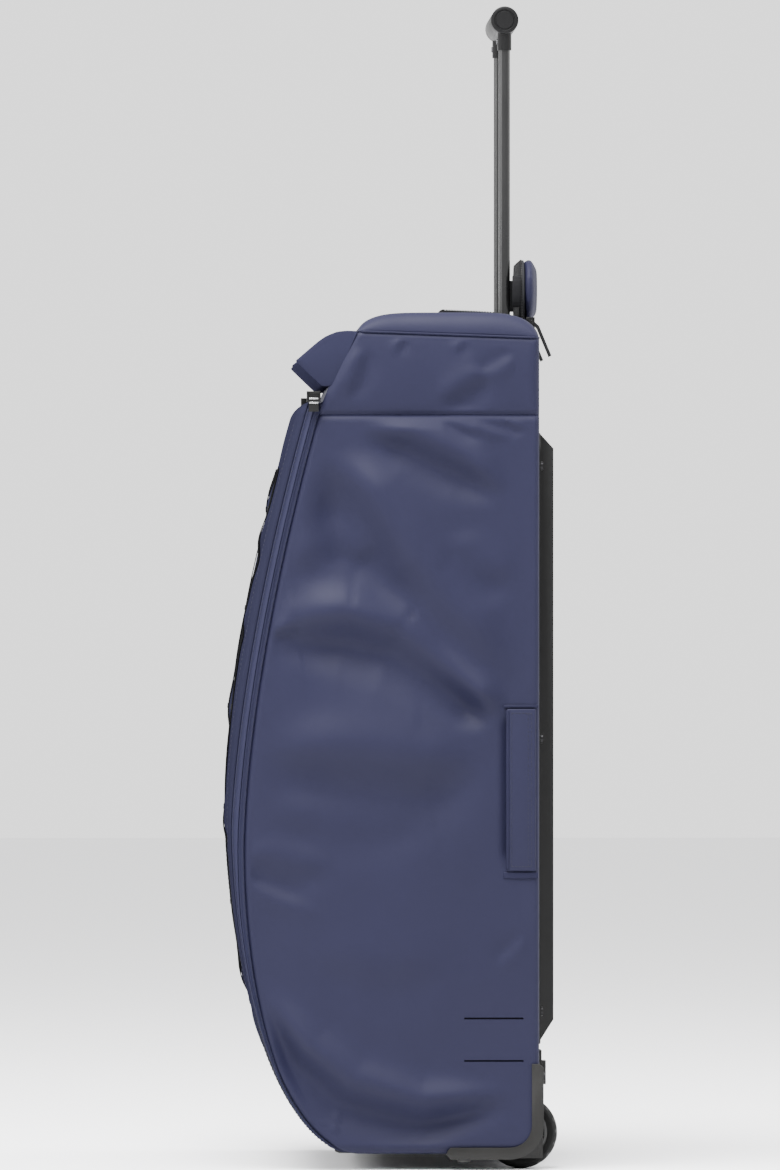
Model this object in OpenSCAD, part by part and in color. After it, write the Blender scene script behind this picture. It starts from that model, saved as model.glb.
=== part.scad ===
// Rolling duffel bag: an upright soft bag on two wheels, with a zipped front lid and
// a push-button trolley handle.
// +Z is up, the front lid faces -Y and X runs across.
// The origin is on the floor, under the middle of the overall box.
// Inside the file a depth d is measured forwards from the back panel's outer face, so y = back_y - d.

/* [Bag] */
// Overall width over the side panels
bag_w = 400; // [320:10:480]
// Height of the hood's crown above the floor
bag_h = 800; // [660:10:960]
// Depth of the front lid's belly
belly_d = 293; // [244:1:352]
// Height of the belly's deepest point
belly_z = 350; // [290:5:420]
// Height of the bottom panel's underside above the floor
base_z = 15; // [12:1:20]
// Thickness of the padded fabric walls
wall = 3; // [2:0.5:4]
// Depth of the lower nose's curve
nose_a = 122; // [100:2:150]

/* [Hood] */
// Height of the hood above its side seam
hood_h = 96; // [80:2:120]
// Rise of the top panel's crown above its piping
crown_rise = 18; // [12:1:24]
// Distance from the crown down to the top of the front lid
lid_drop = 84; // [74:1:100]
// How far the hood's front face slopes forwards
hood_slope = 33; // [20:1:45]
// Reach of the visor in front of the hood's top corner
visor_reach = 57; // [44:1:66]

/* [Front lid] */
// Depth of the lid's front at its top
lid_top_d = 226; // [200:1:240]
// How far the side seam lies behind the front at the belly
lid_depth = 18; // [14:1:26]
// How far the side seam lies behind the front at the top
lid_rim = 24; // [18:1:30]
// Thickness of the padded lid
lid_wall = 5; // [3:0.5:7]
// Width of each half of the zip tape
tape_w = 6; // [4:0.5:8]

/* [Trolley handle] */
// Distance between the two tubes
tube_pitch = 160; // [130:2:180]
// Depth of the tubes' centres
tube_d = 29; // [25:1:34]
// Width of the sliding tubes
tube_x = 17; // [14:0.5:20]
// Thickness of the sliding tubes
tube_y = 10.5; // [8:0.5:12]
// How far the handle slides down
trolley_travel = 290; // [220:5:330]
// Length of sliding tube that stays inside at full height
tube_overlap = 90; // [70:5:120]
// Radius of the round grip
grip_r = 13; // [11:0.5:15]
// Travel of the release button
button_travel = 4; // [3:0.5:5]

/* [Handle garage] */
// Free room beside each end of the stowed grip
grip_room = 8; // [7:0.5:14]
// Front to back length of the recess
garage_l = 80; // [60:1:90]
// Depth of the recess below the crown
garage_deep = 50; // [40:1:56]
// Height of the garage's padded flap
flap_h = 60; // [50:1:70]

/* [Wheels] */
// Radius of the tyre
wheel_r = 34; // [30:1:38]
// Width of the tyre
wheel_w = 24; // [18:1:26]
// Depth of the axle
axle_d = 16; // [12:1:20]
// Distance of each wheel's middle from the bag's centre plane
wheel_x = 158; // [120:2:170]
// Radius of the axle
axle_r = 4; // [3:0.5:5]

/* [Corner guards] */
// Thickness of the guard's rim as seen from the side
rim_t = 11; // [8:1:14]
// How far the rim stands out behind the back panel
rim_out = 4; // [3:0.5:6]
// Height of the guard's top
rim_top_z = 99; // [92:1:130]
// Depth of the guard's front end
rim_front_d = 86; // [70:1:110]
// Outer radius of the guard's corner
rim_r = 32; // [26:1:38]

/* [Back shell] */
// Half width of the hard back shell
shell_x = 155; // [130:5:160]
// How far the ridges that the bag slides on stand out
ridge_out = 16.4; // [12:0.2:20]
// Height of the shell's lower edge
shell_low_z = 111; // [105:1:140]
// Distance from the crown down to the shell's upper edge
shell_drop = 108; // [90:1:130]

/* [Side handles] */
// Length of a side grab handle
grab_l = 151; // [120:1:180]
// Width of a side grab handle
grab_w = 27; // [20:1:34]
// Height of a side handle's lower end
grab_z = 279; // [240:1:330]

/* [Hidden] */
$fn = 48;
gap = 0.3;            // clearance between neighbouring pieces
cut = 1;              // how far a cutting solid runs past what it cuts
curve_steps = 36;

// Colours
navy = "#3f4470";
black = "#1b1b1d";
charcoal = "#3a3a3a";
steel = "#9a9ca0";

// Front webbing
webbing_w = 25;
webbing_t = 2.4;
webbing_x = 62;
webbing_low_z = 150;

// The overall box runs from the webbing's belly to the back of the tyres
back_y = (belly_d + gap + webbing_t - (wheel_r - axle_d)) / 2;
half_w = bag_w / 2;
in_x = half_w - wall;

// Heights that follow from the crown
piping_z = bag_h - crown_rise;
seam_z = bag_h - hood_h;
lid_top_z = bag_h - lid_drop;
edge_z = 300;         // height of the side seam's deepest point
nose_top_z = base_z + 8;   // where the bottom panel ends and the lid begins
lid_low_z = nose_top_z + 1;
min_lid = 5;          // least depth from the side seam to the lid's front
edge_top_d = lid_top_d - lid_rim;
hood_top_d = edge_top_d - hood_slope;

// Garage and tubes
cap_t = 2.5;
cap_plug = 1.5;       // depth of a cap's plug inside the grip
grip_half = tube_pitch / 2 + tube_x / 2 + cap_plug + gap;
socket_x = tube_x + 3;
socket_y = tube_y + 2.6;
garage_w = 2 * (grip_half + cap_t + grip_room);
garage_back_d = 7;
garage_front_d = garage_back_d + garage_l;
garage_floor_z = bag_h - garage_deep;
tray_t = 2;
inner_wall = 1.2;
outer_wall = 1.4;
slide_gap = 0.4;
tube_cx = tube_pitch / 2;
outer_x = tube_x + 2 * (slide_gap + outer_wall);
outer_y = tube_y + 2 * (slide_gap + outer_wall);
outer_low_z = 30;
board_z = base_z + wall;
board_t = 3;
visor_low_z = lid_top_z + 15;
lid_hollow_z = 200;
collar_t = 3;
collar_lip = 3;
socket_h = 19;
socket_low_z = garage_floor_z + collar_t + gap + 6 + trolley_travel;
grip_z = socket_low_z + grip_r + socket_h - 4;
grip_t = 2.5;
inner_top_z = grip_z - grip_r + 4;
grip_screw_z = socket_low_z + 8;
screw_hole_r = 1.5;
inner_low_z = garage_floor_z - tube_overlap;

// Release mechanism: rods from the button end in 45 degree cams, which draw the lock pins in
pin_r = 2.8;
pin_z = inner_low_z + 12;
pin_in_x = tube_cx - 2;
pin_out_x = tube_cx + outer_x / 2 + 1;
rod_r = 1.5;
block_h = 32;
cam_w = 3;
cam_t = 2;
cam_up = pin_r + button_travel + 0.5;
cam_down = pin_r + 0.2;
cam_x = tube_cx + tube_x / 2 - inner_wall - gap - cam_w / 2 - cam_down;
rod_x0 = cam_x - cam_up;
spring_low_z = inner_low_z + block_h;
spring_len = 18;
spring_r = 2;         // to the middle of the wire
wire_r = 0.25;
button_proud = 1;
button_x = 22;
button_y = 5.5;

// Wheels, guards and base
arch_gap = 4;
arch_t = 3;
arch_d = axle_d + wheel_r + arch_gap + arch_t + 3;
cheek_t = 4;
cheek_in_x = wheel_x - wheel_w / 2 - 6;
cheek_out_x = wheel_x + wheel_w / 2 + 6;
guard_in_x = cheek_in_x - cheek_t;
guard_out_x = half_w + 2;
rim_z = base_z - 5;
guard_screw_x = [cheek_in_x + 5, cheek_out_x + 10];
guard_screw_z = rim_top_z - 12;
hub_r = wheel_r - 9;
bearing_r = 8;
bearing_w = 6;
boss_r = 11;
run_gap = 0.05;
skid_x = 150;
skid_d = [163, 190];
skid_t = 1.2;

shell_t = 3;
shell_high_z = bag_h - shell_drop;
ridge_x = [55, 105];
screw_r = 2;
screw_x = shell_x - 15;
screw_z = [shell_low_z + 35, (shell_low_z + shell_high_z) / 2, shell_high_z - 35];
grab_t = 3;

// Front profile: an ellipse below the deepest point and a power curve above it
function bulge(z, d_max, z_max, top_d, low_a) = z >= z_max
    ? d_max - (d_max - top_d) * pow((z - z_max) / (lid_top_z - z_max), 1.6)
    : d_max - low_a + low_a * sqrt(max(0, 1 - pow((z_max - z) / (z_max - base_z), 2)));
front_d = function(z) bulge(z, belly_d, belly_z, lid_top_d, nose_a);
edge_d = function(z) min(
    bulge(z, belly_d - lid_depth, edge_z, edge_top_d, nose_a - 22), front_d(z) - min_lid);
// Line where the two halves of the zip meet, and the lid's sewn edge in front of it
slit_d = function(z) edge_d(z) + min(tape_w, 0.45 * (front_d(z) - edge_d(z)));
rim_d = function(z) edge_d(z) + min(2 * tape_w + 1, 0.72 * (front_d(z) - edge_d(z)));
// Height of the bottom panel's outer face at depth d of the nose
function nose_z(d) = belly_z - (belly_z - base_z) * sqrt(1 - pow((d - belly_d + nose_a) / nose_a, 2));

// Top panel: height of the crown's outer face at depth d
function crown_z(d) = piping_z + crown_rise * pow(max(0, 1 - pow(abs(2 * d / hood_top_d - 1), 5)), 0.6);
// Depth of the hood's sloping front at height z
function hood_d(z) = let (t = (piping_z - z) / (piping_z - lid_top_z))
    hood_top_d + hood_slope * (t + 0.25 * t * (1 - t));

function fy(d) = back_y - d;
function at(d, z) = [fy(d), z];
// Neighbouring panels share these heights, which lie closer together towards the nose
stations = concat(
    [for (i = [0:5]) base_z + (lid_low_z - base_z) * i / 6],
    [for (i = [0:curve_steps]) lid_low_z + (lid_top_z - lid_low_z) * pow(i / curve_steps, 1.6)]);
function curve(f, z0, z1) = [
    for (z = concat([z0], [for (z = stations) if (z > z0 + 0.1 && z < z1 - 0.1) z], [z1])) at(f(z), z)];
function reversed(list) = [for (i = [len(list) - 1:-1:0]) list[i]];
// Quarter of a guard's corner, from straight down to straight back, for the radius r
function corner(r) = [for (i = [0:12]) let (a = 90 - 7.5 * i)
    at(rim_r - rim_out - r * cos(a), rim_z + rim_r - r * sin(a))];

// A (y, z) outline extruded across the bag, from x0 to x1
module across(x0, x1) translate([x0, 0, 0]) rotate([90, 0, 90]) linear_extrude(x1 - x0) children();
// An (x, z) outline extruded from depth d0 forwards to depth d1
module through(d0, d1) translate([0, fy(d0), 0]) rotate([90, 0, 0]) linear_extrude(d1 - d0) children();
// The piece is written for the right side, and side -1 gives the left one
module sided(side) if (side < 0) mirror([1, 0, 0]) children(); else children();
module both() for (side = [-1, 1]) sided(side) children();
module block(x0, x1, d0, d1, z0, z1) translate([x0, fy(d1), z0]) cube([x1 - x0, d1 - d0, z1 - z0]);
module rod_x(r, x0, x1, d, z) translate([x0, fy(d), z]) rotate([0, 90, 0]) cylinder(r = r, h = x1 - x0);
module rod_y(r, x, d0, d1, z) translate([x, fy(d0), z]) rotate([90, 0, 0]) cylinder(r = r, h = d1 - d0);
module rod_z(r, x, d, z0, z1) translate([x, fy(d), z0]) cylinder(r = r, h = z1 - z0);
module stadium(w, h) {
    square([w - h, h], center = true);
    for (s = [-1, 1]) translate([s * (w - h) / 2, 0]) circle(d = h);
}
module tube_prism(w, h, z0, z1) translate([tube_cx, fy(tube_d), z0]) linear_extrude(z1 - z0) stadium(w, h);
module rounded(x, z0, z1, r) {
    translate([-x, z0 + r]) square([2 * x, z1 - z0 - 2 * r]);
    translate([-x + r, z0]) square([2 * (x - r), z1 - z0]);
    for (cx = [-x + r, x - r], cz = [z0 + r, z1 - r]) translate([cx, cz]) circle(r = r);
}

// ---- Fabric shell ----
// Inner edge of the guard's rim, moved away from it by g
function guard_inner(g) = concat([at(rim_front_d + g, rim_z + 7), at(rim_front_d + g - 3, rim_z + rim_t + g)],
    corner(rim_r - rim_t - g), [at(rim_t - rim_out + g, rim_top_z + g)]);

module side_panel(side) color(navy) sided(side) across(in_x, half_w) polygon(concat(
    [at(0, rim_top_z + gap), at(0, seam_z - gap / 2)],
    reversed(curve(edge_d, base_z, seam_z - gap / 2)),
    [at(rim_front_d + gap, base_z)],
    guard_inner(gap)));

module hood_side(side) color(navy) sided(side) across(in_x, half_w) polygon(concat(
    [at(0, seam_z + gap / 2), at(0, piping_z)],
    hood_face(lid_top_z, 0),
    [at(edge_d(seam_z + gap / 2), seam_z + gap / 2)]));

module back_panel() color(navy) difference() {
    block(-in_x, in_x, 0, wall, base_z, piping_z);
    both() block(guard_in_x - gap, half_w + cut, -cut, wall + cut, 0, rim_top_z + gap);
    both() for (z = screw_z) rod_y(screw_r + run_gap, screw_x, -cut, wall + cut, z);
}

module bottom_panel() color(navy) difference() {
    across(-in_x, in_x) polygon(concat(
        [at(wall, base_z)],
        curve(front_d, base_z, nose_top_z),
        [at(front_d(nose_top_z) - wall, nose_top_z), at(front_d(base_z) + 2, base_z + wall)],
        [at(wall, base_z + wall)]));
    both() block(guard_in_x - gap, half_w, -cut, rim_front_d + gap, 0, base_z + wall + cut);
}

// Points down the hood's sloping front to height z1, at depth off from its face
function hood_face(z1, off) = [for (i = [0:12])
    let (z = piping_z - (piping_z - z1) * i / 12) at(hood_d(z) + off, z)];

module hood_front() color(navy) across(-in_x, in_x) polygon(concat(
    hood_face(lid_top_z + gap, 0), reversed(hood_face(lid_top_z + gap, -wall))));

module crown_outline(inset) polygon(concat(
    [at(inset, piping_z - (inset > 0 ? cut : 0))],
    [for (i = [1:curve_steps - 1]) let (d = hood_top_d * i / curve_steps)
        at(inset + d * (hood_top_d - 2 * inset) / hood_top_d, crown_z(d) - inset)],
    [at(hood_top_d - inset, piping_z - (inset > 0 ? cut : 0))]));

module hood_top() color(navy) difference() {
    across(-half_w, half_w) crown_outline(0);
    across(-in_x, in_x) crown_outline(wall);
    block(-garage_w / 2, garage_w / 2, garage_back_d, garage_front_d, piping_z - cut, bag_h + cut);
}

// Folded flap along the hood's upper front edge, closed at both ends
module visor() color(navy) difference() {
    across(-in_x, in_x) polygon(concat(
        [at(hood_top_d + 21, piping_z), at(hood_top_d + 37, piping_z - 11),
         at(hood_top_d + visor_reach, piping_z - 27)],
        reversed(hood_face(visor_low_z, gap))));
    across(-in_x + wall, in_x - wall) polygon([
        at(hood_top_d + 20, piping_z - wall), at(hood_top_d + 34, piping_z - 11 - wall),
        at(hood_top_d + visor_reach - 3 * wall, piping_z - 27),
        at(hood_d(visor_low_z + 2 * wall), visor_low_z + 2 * wall), at(hood_top_d, piping_z - wall)]);
}

module tape_sides(inner, outer, low_z) both() across(in_x, half_w) polygon(concat(
    curve(inner, low_z, lid_top_z), reversed(curve(outer, low_z, lid_top_z))));

module zip_tape_body() color(navy) {
    tape_sides(function(z) edge_d(z) + 0.01, function(z) slit_d(z) - gap / 2, lid_low_z);
    block(-in_x, in_x, edge_top_d - tape_w, slit_d(lid_top_z) - gap / 2, lid_top_z - wall, lid_top_z);
}

// ---- Handle garage ----
// Band along the crown from depth d0 to d1, between two heights above it
module crown_band(d0, d1, low, high) polygon(concat(
    [for (i = [0:24]) let (d = d0 + (d1 - d0) * i / 24) at(d, crown_z(d) + low)],
    [for (i = [24:-1:0]) let (d = d0 + (d1 - d0) * i / 24)
        at(d, crown_z(d) + high[0] + (high[1] - high[0]) * i / 24)]));

module garage_box(grow, z0, z1) block(-garage_w / 2 - grow, garage_w / 2 + grow,
    garage_back_d - grow, garage_front_d + grow, z0, z1);

module garage_tray() color(black) difference() {
    intersection() {
        garage_box(-run_gap, garage_floor_z - tray_t, bag_h);
        across(-half_w, half_w) crown_band(0, hood_top_d, -2 * garage_deep, [-0.5, -0.5]);
    }
    garage_box(-tray_t, garage_floor_z, bag_h + cut);
    both() tube_prism(outer_x + 2 * run_gap, outer_y + 2 * run_gap, garage_floor_z - 2 * tray_t, bag_h);
}

// Zip band round the recess, standing on the crown
module garage_lip() color(black) difference() {
    across(-garage_w / 2 - 3, garage_w / 2 + 3)
        crown_band(garage_back_d - 3, garage_front_d + 3, 0.2, [0.8, 4]);
    garage_box(0, piping_z - cut, bag_h + 30);
}

pull_x = garage_w / 2 + 11;
pull_d = 4;
pull_z = piping_z + 11.5;
pull_pin_r = 1.2;
module garage_sliders() color(black) both() difference() {
    across(pull_x - 4.8, pull_x + 4.8) polygon(concat(
        [for (d = [pull_d - 2.5:2:pull_d + 5.5]) at(d, crown_z(d) + 0.05)],
        [at(pull_d + 5.5, pull_z + 3.5), at(pull_d - 2.5, pull_z + 3.5)]));
    block(pull_x - 3.4, pull_x + 3.4, pull_d - 2.5 - cut, pull_d + 2.8, piping_z, pull_z + 4);
    rod_x(pull_pin_r + run_gap, pull_x - 6, pull_x + 6, pull_d, pull_z);
}

module garage_pull(side) color(black) sided(side) {
    rod_x(pull_pin_r, pull_x - 4.8, pull_x + 4.8, pull_d, pull_z);
    across(pull_x - 3, pull_x + 3) polygon([
        at(pull_d - 0.5, pull_z + 1.1), at(pull_d + 0.4, pull_z - 1.1), at(pull_d - 4.6, pull_z - 7.6),
        at(pull_d - 15.6, pull_z - 34), at(pull_d - 18.2, pull_z - 32.5), at(pull_d - 6.6, pull_z - 4.6)]);
}

// Flap that zips over the recess, standing open: fabric cover, zip band and a lining with wrapped ends.
// The grip passes in front of it and between the lining's ends.
module flap_plate(inset, d0, d1) through(d0, d1)
    rounded(garage_w / 2 - tray_t - 0.5 - inset, flap_z, flap_z + flap_h - inset, 28 - inset);
flap_z = crown_z(garage_back_d) + 1.2;
flap_d = [2, 10.5, 13, tube_d - grip_r - 0.5, tube_d - tube_y / 2 - 1.7];
module flap_cover() color(navy) flap_plate(0, flap_d[0], flap_d[1]);
module flap_zip() color(charcoal) flap_plate(1, flap_d[1], flap_d[2]);
module flap_lining() color(black) {
    flap_plate(2, flap_d[2], flap_d[3]);
    difference() {
        flap_plate(2, flap_d[3] - cut, flap_d[4]);
        block(-grip_half - cap_t - 0.5, grip_half + cap_t + 0.5, 0, tube_d, 0, flap_z + flap_h);
    }
}

// ---- Hard back and inner structure ----
module back_shell() color(black) difference() {
    union() {
        through(-shell_t, 0) rounded(shell_x, shell_low_z + 4, shell_high_z - 4, 22);
        both() across(ridge_x[0], ridge_x[1]) polygon([
            at(0, shell_low_z), at(-ridge_out, shell_low_z + 26),
            at(-ridge_out, shell_high_z - 18), at(0, shell_high_z)]);
    }
    both() for (z = screw_z) rod_y(screw_r + run_gap, screw_x, -shell_t - cut, cut, z);
}

module shell_screws() color(steel) both() for (z = screw_z) {
    rod_y(screw_r * 2.2, screw_x, -shell_t - 2.2, -shell_t, z);
    rod_y(screw_r, screw_x, -shell_t - 1, wall + 3, z);
    rod_y(screw_r * 2.5, screw_x, wall, wall + 3, z);
}

cover_x = tube_cx + outer_x / 2 + 8;
cover_d = tube_d + outer_y / 2 + 6;
cover_t = 1.5;
bracket_top_z = 46;
module trolley_cover() color(charcoal) difference() {
    block(-cover_x, cover_x, wall, cover_d, bracket_top_z + gap, garage_floor_z - tray_t - gap);
    block(-cover_x + cover_t, cover_x - cover_t, wall - cut, cover_d - cover_t, 0, garage_floor_z);
}

module base_board() color(charcoal) difference() {
    block(-in_x + 2, in_x - 2, wall + 1, skid_d[0] + 10, board_z, board_z + board_t);
    both() block(guard_in_x - 1, half_w, -cut, rim_front_d + 1, 0, board_z + board_t + cut);
}

module base_bracket() color(black) difference() {
    block(-cover_x, cover_x, wall, cover_d, board_z + board_t, bracket_top_z);
    block(-cover_x - cut, cover_x + cut, wall + 1, cover_d + cut, bracket_top_z - 4, bracket_top_z + cut);
    both() tube_prism(outer_x, outer_y, outer_low_z, bracket_top_z + cut);
}

// ---- Corner guards, wheels and skid ----
module guard_rim() polygon(concat(
    [at(rim_front_d - 3, rim_z), at(rim_front_d, rim_z + 4)],
    guard_inner(0),
    [at(-rim_out + 4, rim_top_z), at(-rim_out, rim_top_z - 4)],
    reversed(corner(rim_r))));

module corner_guard(side) color(charcoal) sided(side) difference() {
    union() {
        across(cheek_out_x, guard_out_x) guard_rim();
        // cheeks on both sides of the wheel, which carry the axle
        block(cheek_out_x, cheek_out_x + cheek_t, 0, arch_d, rim_z + 2, rim_top_z);
        block(guard_in_x, cheek_in_x, -rim_out, arch_d, rim_z, rim_top_z);
        // arch over the wheel
        intersection() {
            rod_x(wheel_r + arch_gap + arch_t, cheek_in_x - cut, cheek_out_x + cut, axle_d, wheel_r);
            block(cheek_in_x - cut, cheek_out_x + cut, -rim_out, arch_d, rim_z, rim_top_z);
        }
        // plates that close the back above the wheel and the bottom in front of it
        block(cheek_in_x - cut, cheek_out_x + cut, -rim_out, 0, wheel_r + 30, rim_top_z);
        block(cheek_in_x + 11, cheek_out_x - 2, -rim_out - 3, 0, rim_top_z - 20, rim_top_z + 2);
        block(cheek_in_x, cheek_out_x, -3, 0, rim_top_z - 2, shell_low_z - gap);
        block(guard_in_x, cheek_out_x + cut, axle_d + 20, rim_front_d, base_z - 3, base_z + wall);
    }
    rod_x(wheel_r + arch_gap, cheek_in_x, cheek_out_x, axle_d, wheel_r);
    rod_x(axle_r + run_gap, guard_in_x - cut, cheek_out_x + cheek_t + cut, axle_d, wheel_r);
    for (x = guard_screw_x) rod_y(screw_r + run_gap, x, -2 * rim_out, rim_out, guard_screw_z);
}

module guard_screws() color(steel) both() for (x = guard_screw_x) {
    rod_y(screw_r, x, -rim_out - 1, 3, guard_screw_z);
    rod_y(4, x, -rim_out - 2, -rim_out, guard_screw_z);
}

module guard_studs() color(black) both() rod_z(6.5, cheek_out_x + 13, rim_front_d - 16, rim_z - 2.8, rim_z);

module axles() color(steel) both() {
    rod_x(axle_r, guard_in_x - 2, cheek_out_x + cheek_t, axle_d, wheel_r);
    rod_x(axle_r + 2, guard_in_x - 2, guard_in_x, axle_d, wheel_r);
    rod_x(axle_r + 2, cheek_out_x + cheek_t, cheek_out_x + cheek_t + 2, axle_d, wheel_r);
}

bearing_x = wheel_w / 2 - 2;
module axle_spacers() color(steel) both() for (span = [[cheek_in_x, wheel_x - bearing_x - gap],
                                                     [wheel_x + bearing_x + gap, cheek_out_x]]) difference() {
    rod_x(axle_r + 2, span[0], span[1], axle_d, wheel_r);
    rod_x(axle_r + run_gap, span[0] - cut, span[1] + cut, axle_d, wheel_r);
}

module wheel_place(side) sided(side) translate([wheel_x, fy(axle_d), wheel_r]) rotate([0, 90, 0]) children();

module wheel_hub(side) color(black) wheel_place(side) difference() {
    union() {
        cylinder(r = boss_r, h = 2 * bearing_x, center = true);
        difference() {
            cylinder(r = hub_r, h = wheel_w - 4, center = true);
            cylinder(r = hub_r - 3.5, h = wheel_w, center = true);
        }
        for (a = [0:72:359]) rotate(a + 18) translate([boss_r - 2, -3, -(wheel_w - 8) / 2])
            cube([hub_r - boss_r, 6, wheel_w - 8]);
    }
    cylinder(r = axle_r + 2, h = wheel_w + cut, center = true);
    for (s = [-1, 1]) translate([0, 0, s * (bearing_x - bearing_w / 2 + cut / 2)])
        cylinder(r = bearing_r, h = bearing_w + cut, center = true);
}

module tyre(side) color(black) wheel_place(side) rotate_extrude($fn = 96) polygon([
    [hub_r, -wheel_w / 2 + 1], [wheel_r - 4, -wheel_w / 2], [wheel_r - 1, -wheel_w / 2 + 3],
    [wheel_r, -wheel_w / 2 + 7], [wheel_r, wheel_w / 2 - 7], [wheel_r - 1, wheel_w / 2 - 3],
    [wheel_r - 4, wheel_w / 2], [hub_r, wheel_w / 2 - 1]]);

module bearings(side) color(steel) wheel_place(side) for (s = [-1, 1])
    translate([0, 0, s * (bearing_x - bearing_w / 2)]) difference() {
        cylinder(r = bearing_r, h = bearing_w, center = true);
        cylinder(r = axle_r + run_gap, h = bearing_w + cut, center = true);
    }

// Hard bar under the nose
module front_skid() color(black) across(-skid_x, skid_x) polygon(concat(
    [at(skid_d[0], base_z), at(skid_d[0], base_z - skid_t), at(skid_d[1] - 4, base_z - skid_t),
     at(skid_d[1], base_z + 0.5)],
    reversed(curve(front_d, base_z, nose_z(skid_d[1])))));

// ---- Trolley handle ----
module outer_tube(side) color(steel) sided(side) difference() {
    tube_prism(outer_x, outer_y, outer_low_z, garage_floor_z);
    tube_prism(outer_x - 2 * outer_wall, outer_y - 2 * outer_wall, outer_low_z - cut, garage_floor_z + cut);
    // slot for the lock pin, from the raised handle's place to the lowered one's
    block(tube_cx, tube_cx + outer_x, tube_d - pin_r - gap, tube_d + pin_r + gap,
        pin_z - trolley_travel - pin_r - gap, pin_z + pin_r + gap);
}

module tube_collars() color(black) both() difference() {
    tube_prism(outer_x + 2 * collar_lip, outer_y + 2 * collar_lip, garage_floor_z, garage_floor_z + collar_t);
    tube_prism(tube_x + slide_gap, tube_y + slide_gap, garage_floor_z - cut, garage_floor_z + collar_t + cut);
}

module inner_tube(side) color(charcoal) sided(side) difference() {
    tube_prism(tube_x, tube_y, inner_low_z, inner_top_z);
    tube_prism(tube_x - 2 * inner_wall, tube_y - 2 * inner_wall, inner_low_z - cut, inner_top_z + cut);
    rod_x(pin_r + 0.1, tube_cx, tube_cx + tube_x, tube_d, pin_z);
    rod_y(screw_hole_r, tube_cx, tube_d, tube_d + tube_y, grip_screw_z);
}

module half_grip(up) difference() {
    rod_x(grip_r, -grip_half, grip_half, tube_d, grip_z);
    rod_x(grip_r - grip_t, -grip_half - cut, grip_half + cut, tube_d, grip_z);
    block(-grip_half - cut, grip_half + cut, tube_d - 2 * grip_r, tube_d + 2 * grip_r,
        up ? grip_z - 2 * grip_r : grip_z, up ? grip_z : grip_z + 2 * grip_r);
}

module grip_upper() color(black) difference() {
    half_grip(true);
    block(-button_x - 0.5, button_x + 0.5, tube_d - button_y - 0.5, tube_d + button_y + 0.5,
        grip_z, grip_z + 20);
}

module grip_lower() color(black) difference() {
    union() {
        half_grip(false);
        both() difference() {
            tube_prism(socket_x, socket_y, socket_low_z, grip_z - grip_r + 2);
            rod_x(grip_r - grip_t, 0, grip_half, tube_d, grip_z);
        }
    }
    both() tube_prism(tube_x + 2 * run_gap, tube_y + 2 * run_gap, socket_low_z - cut, inner_top_z + cut);
    both() rod_y(screw_hole_r, tube_cx, tube_d, tube_d + tube_y, grip_screw_z);
}

module grip_caps() color(charcoal) both() {
    rod_x(grip_r, grip_half, grip_half + cap_t, tube_d, grip_z);
    rod_x(grip_r - grip_t - run_gap, grip_half - cap_plug, grip_half + 1, tube_d, grip_z);
}

module grip_screws() color(steel) both() {
    rod_y(screw_hole_r - run_gap, tube_cx,
        tube_d + tube_y / 2 - 1, tube_d + tube_y / 2 + 2, grip_screw_z);
    rod_y(2.6, tube_cx, tube_d + tube_y / 2 + 1.3, tube_d + tube_y / 2 + 2.3, grip_screw_z);
}

// The cam is a bar at 45 degrees, so the pin moves in as far as the button moves down
module cam_plate(t, grow, up, down) through(tube_d - t / 2, tube_d + t / 2) polygon([
    [cam_x - up - cam_w / 2 - grow, pin_z + up], [cam_x - up + cam_w / 2 + grow, pin_z + up],
    [cam_x + down + cam_w / 2 + grow, pin_z - down], [cam_x + down - cam_w / 2 - grow, pin_z - down]]);

module lock_blocks() color(charcoal) both() difference() {
    tube_prism(tube_x - 2 * inner_wall - 0.1, tube_y - 2 * inner_wall - 0.1, inner_low_z, spring_low_z);
    rod_x(pin_r + 0.1, tube_cx - tube_x, tube_cx + tube_x, tube_d, pin_z);
    rod_z(rod_r + 0.1, rod_x0, tube_d, pin_z, spring_low_z + cut);
    // room for the cam at both ends of the button's travel
    block(cam_x - cam_up - cam_w / 2 - 0.8, tube_cx + tube_x / 2,
        tube_d - cam_t / 2 - 0.2, tube_d + cam_t / 2 + 0.2,
        pin_z - cam_down - button_travel - 1, pin_z + cam_up + 1);
}

module lock_pin(side) color(steel) sided(side) difference() {
    rod_x(pin_r, pin_in_x, pin_out_x, tube_d, pin_z);
    cam_plate(cam_t + 0.5, 0.4, pin_r + cut, pin_r + cut);
}

module release_button() color(charcoal) {
    block(-button_x, button_x, tube_d - button_y, tube_d + button_y,
        grip_z + 1, grip_z + grip_r + button_proud);
    block(-rod_x0 - rod_r - 1, rod_x0 + rod_r + 1, tube_d - 3, tube_d + 3, grip_z - 3, grip_z + 1);
    both() {
        rod_z(rod_r, rod_x0, tube_d, pin_z + cam_up, grip_z - 2);
        rod_z(spring_r + wire_r, rod_x0, tube_d, spring_low_z + spring_len, spring_low_z + spring_len + 2);
        cam_plate(cam_t, 0, cam_up + 0.5, cam_down);
    }
}

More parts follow.
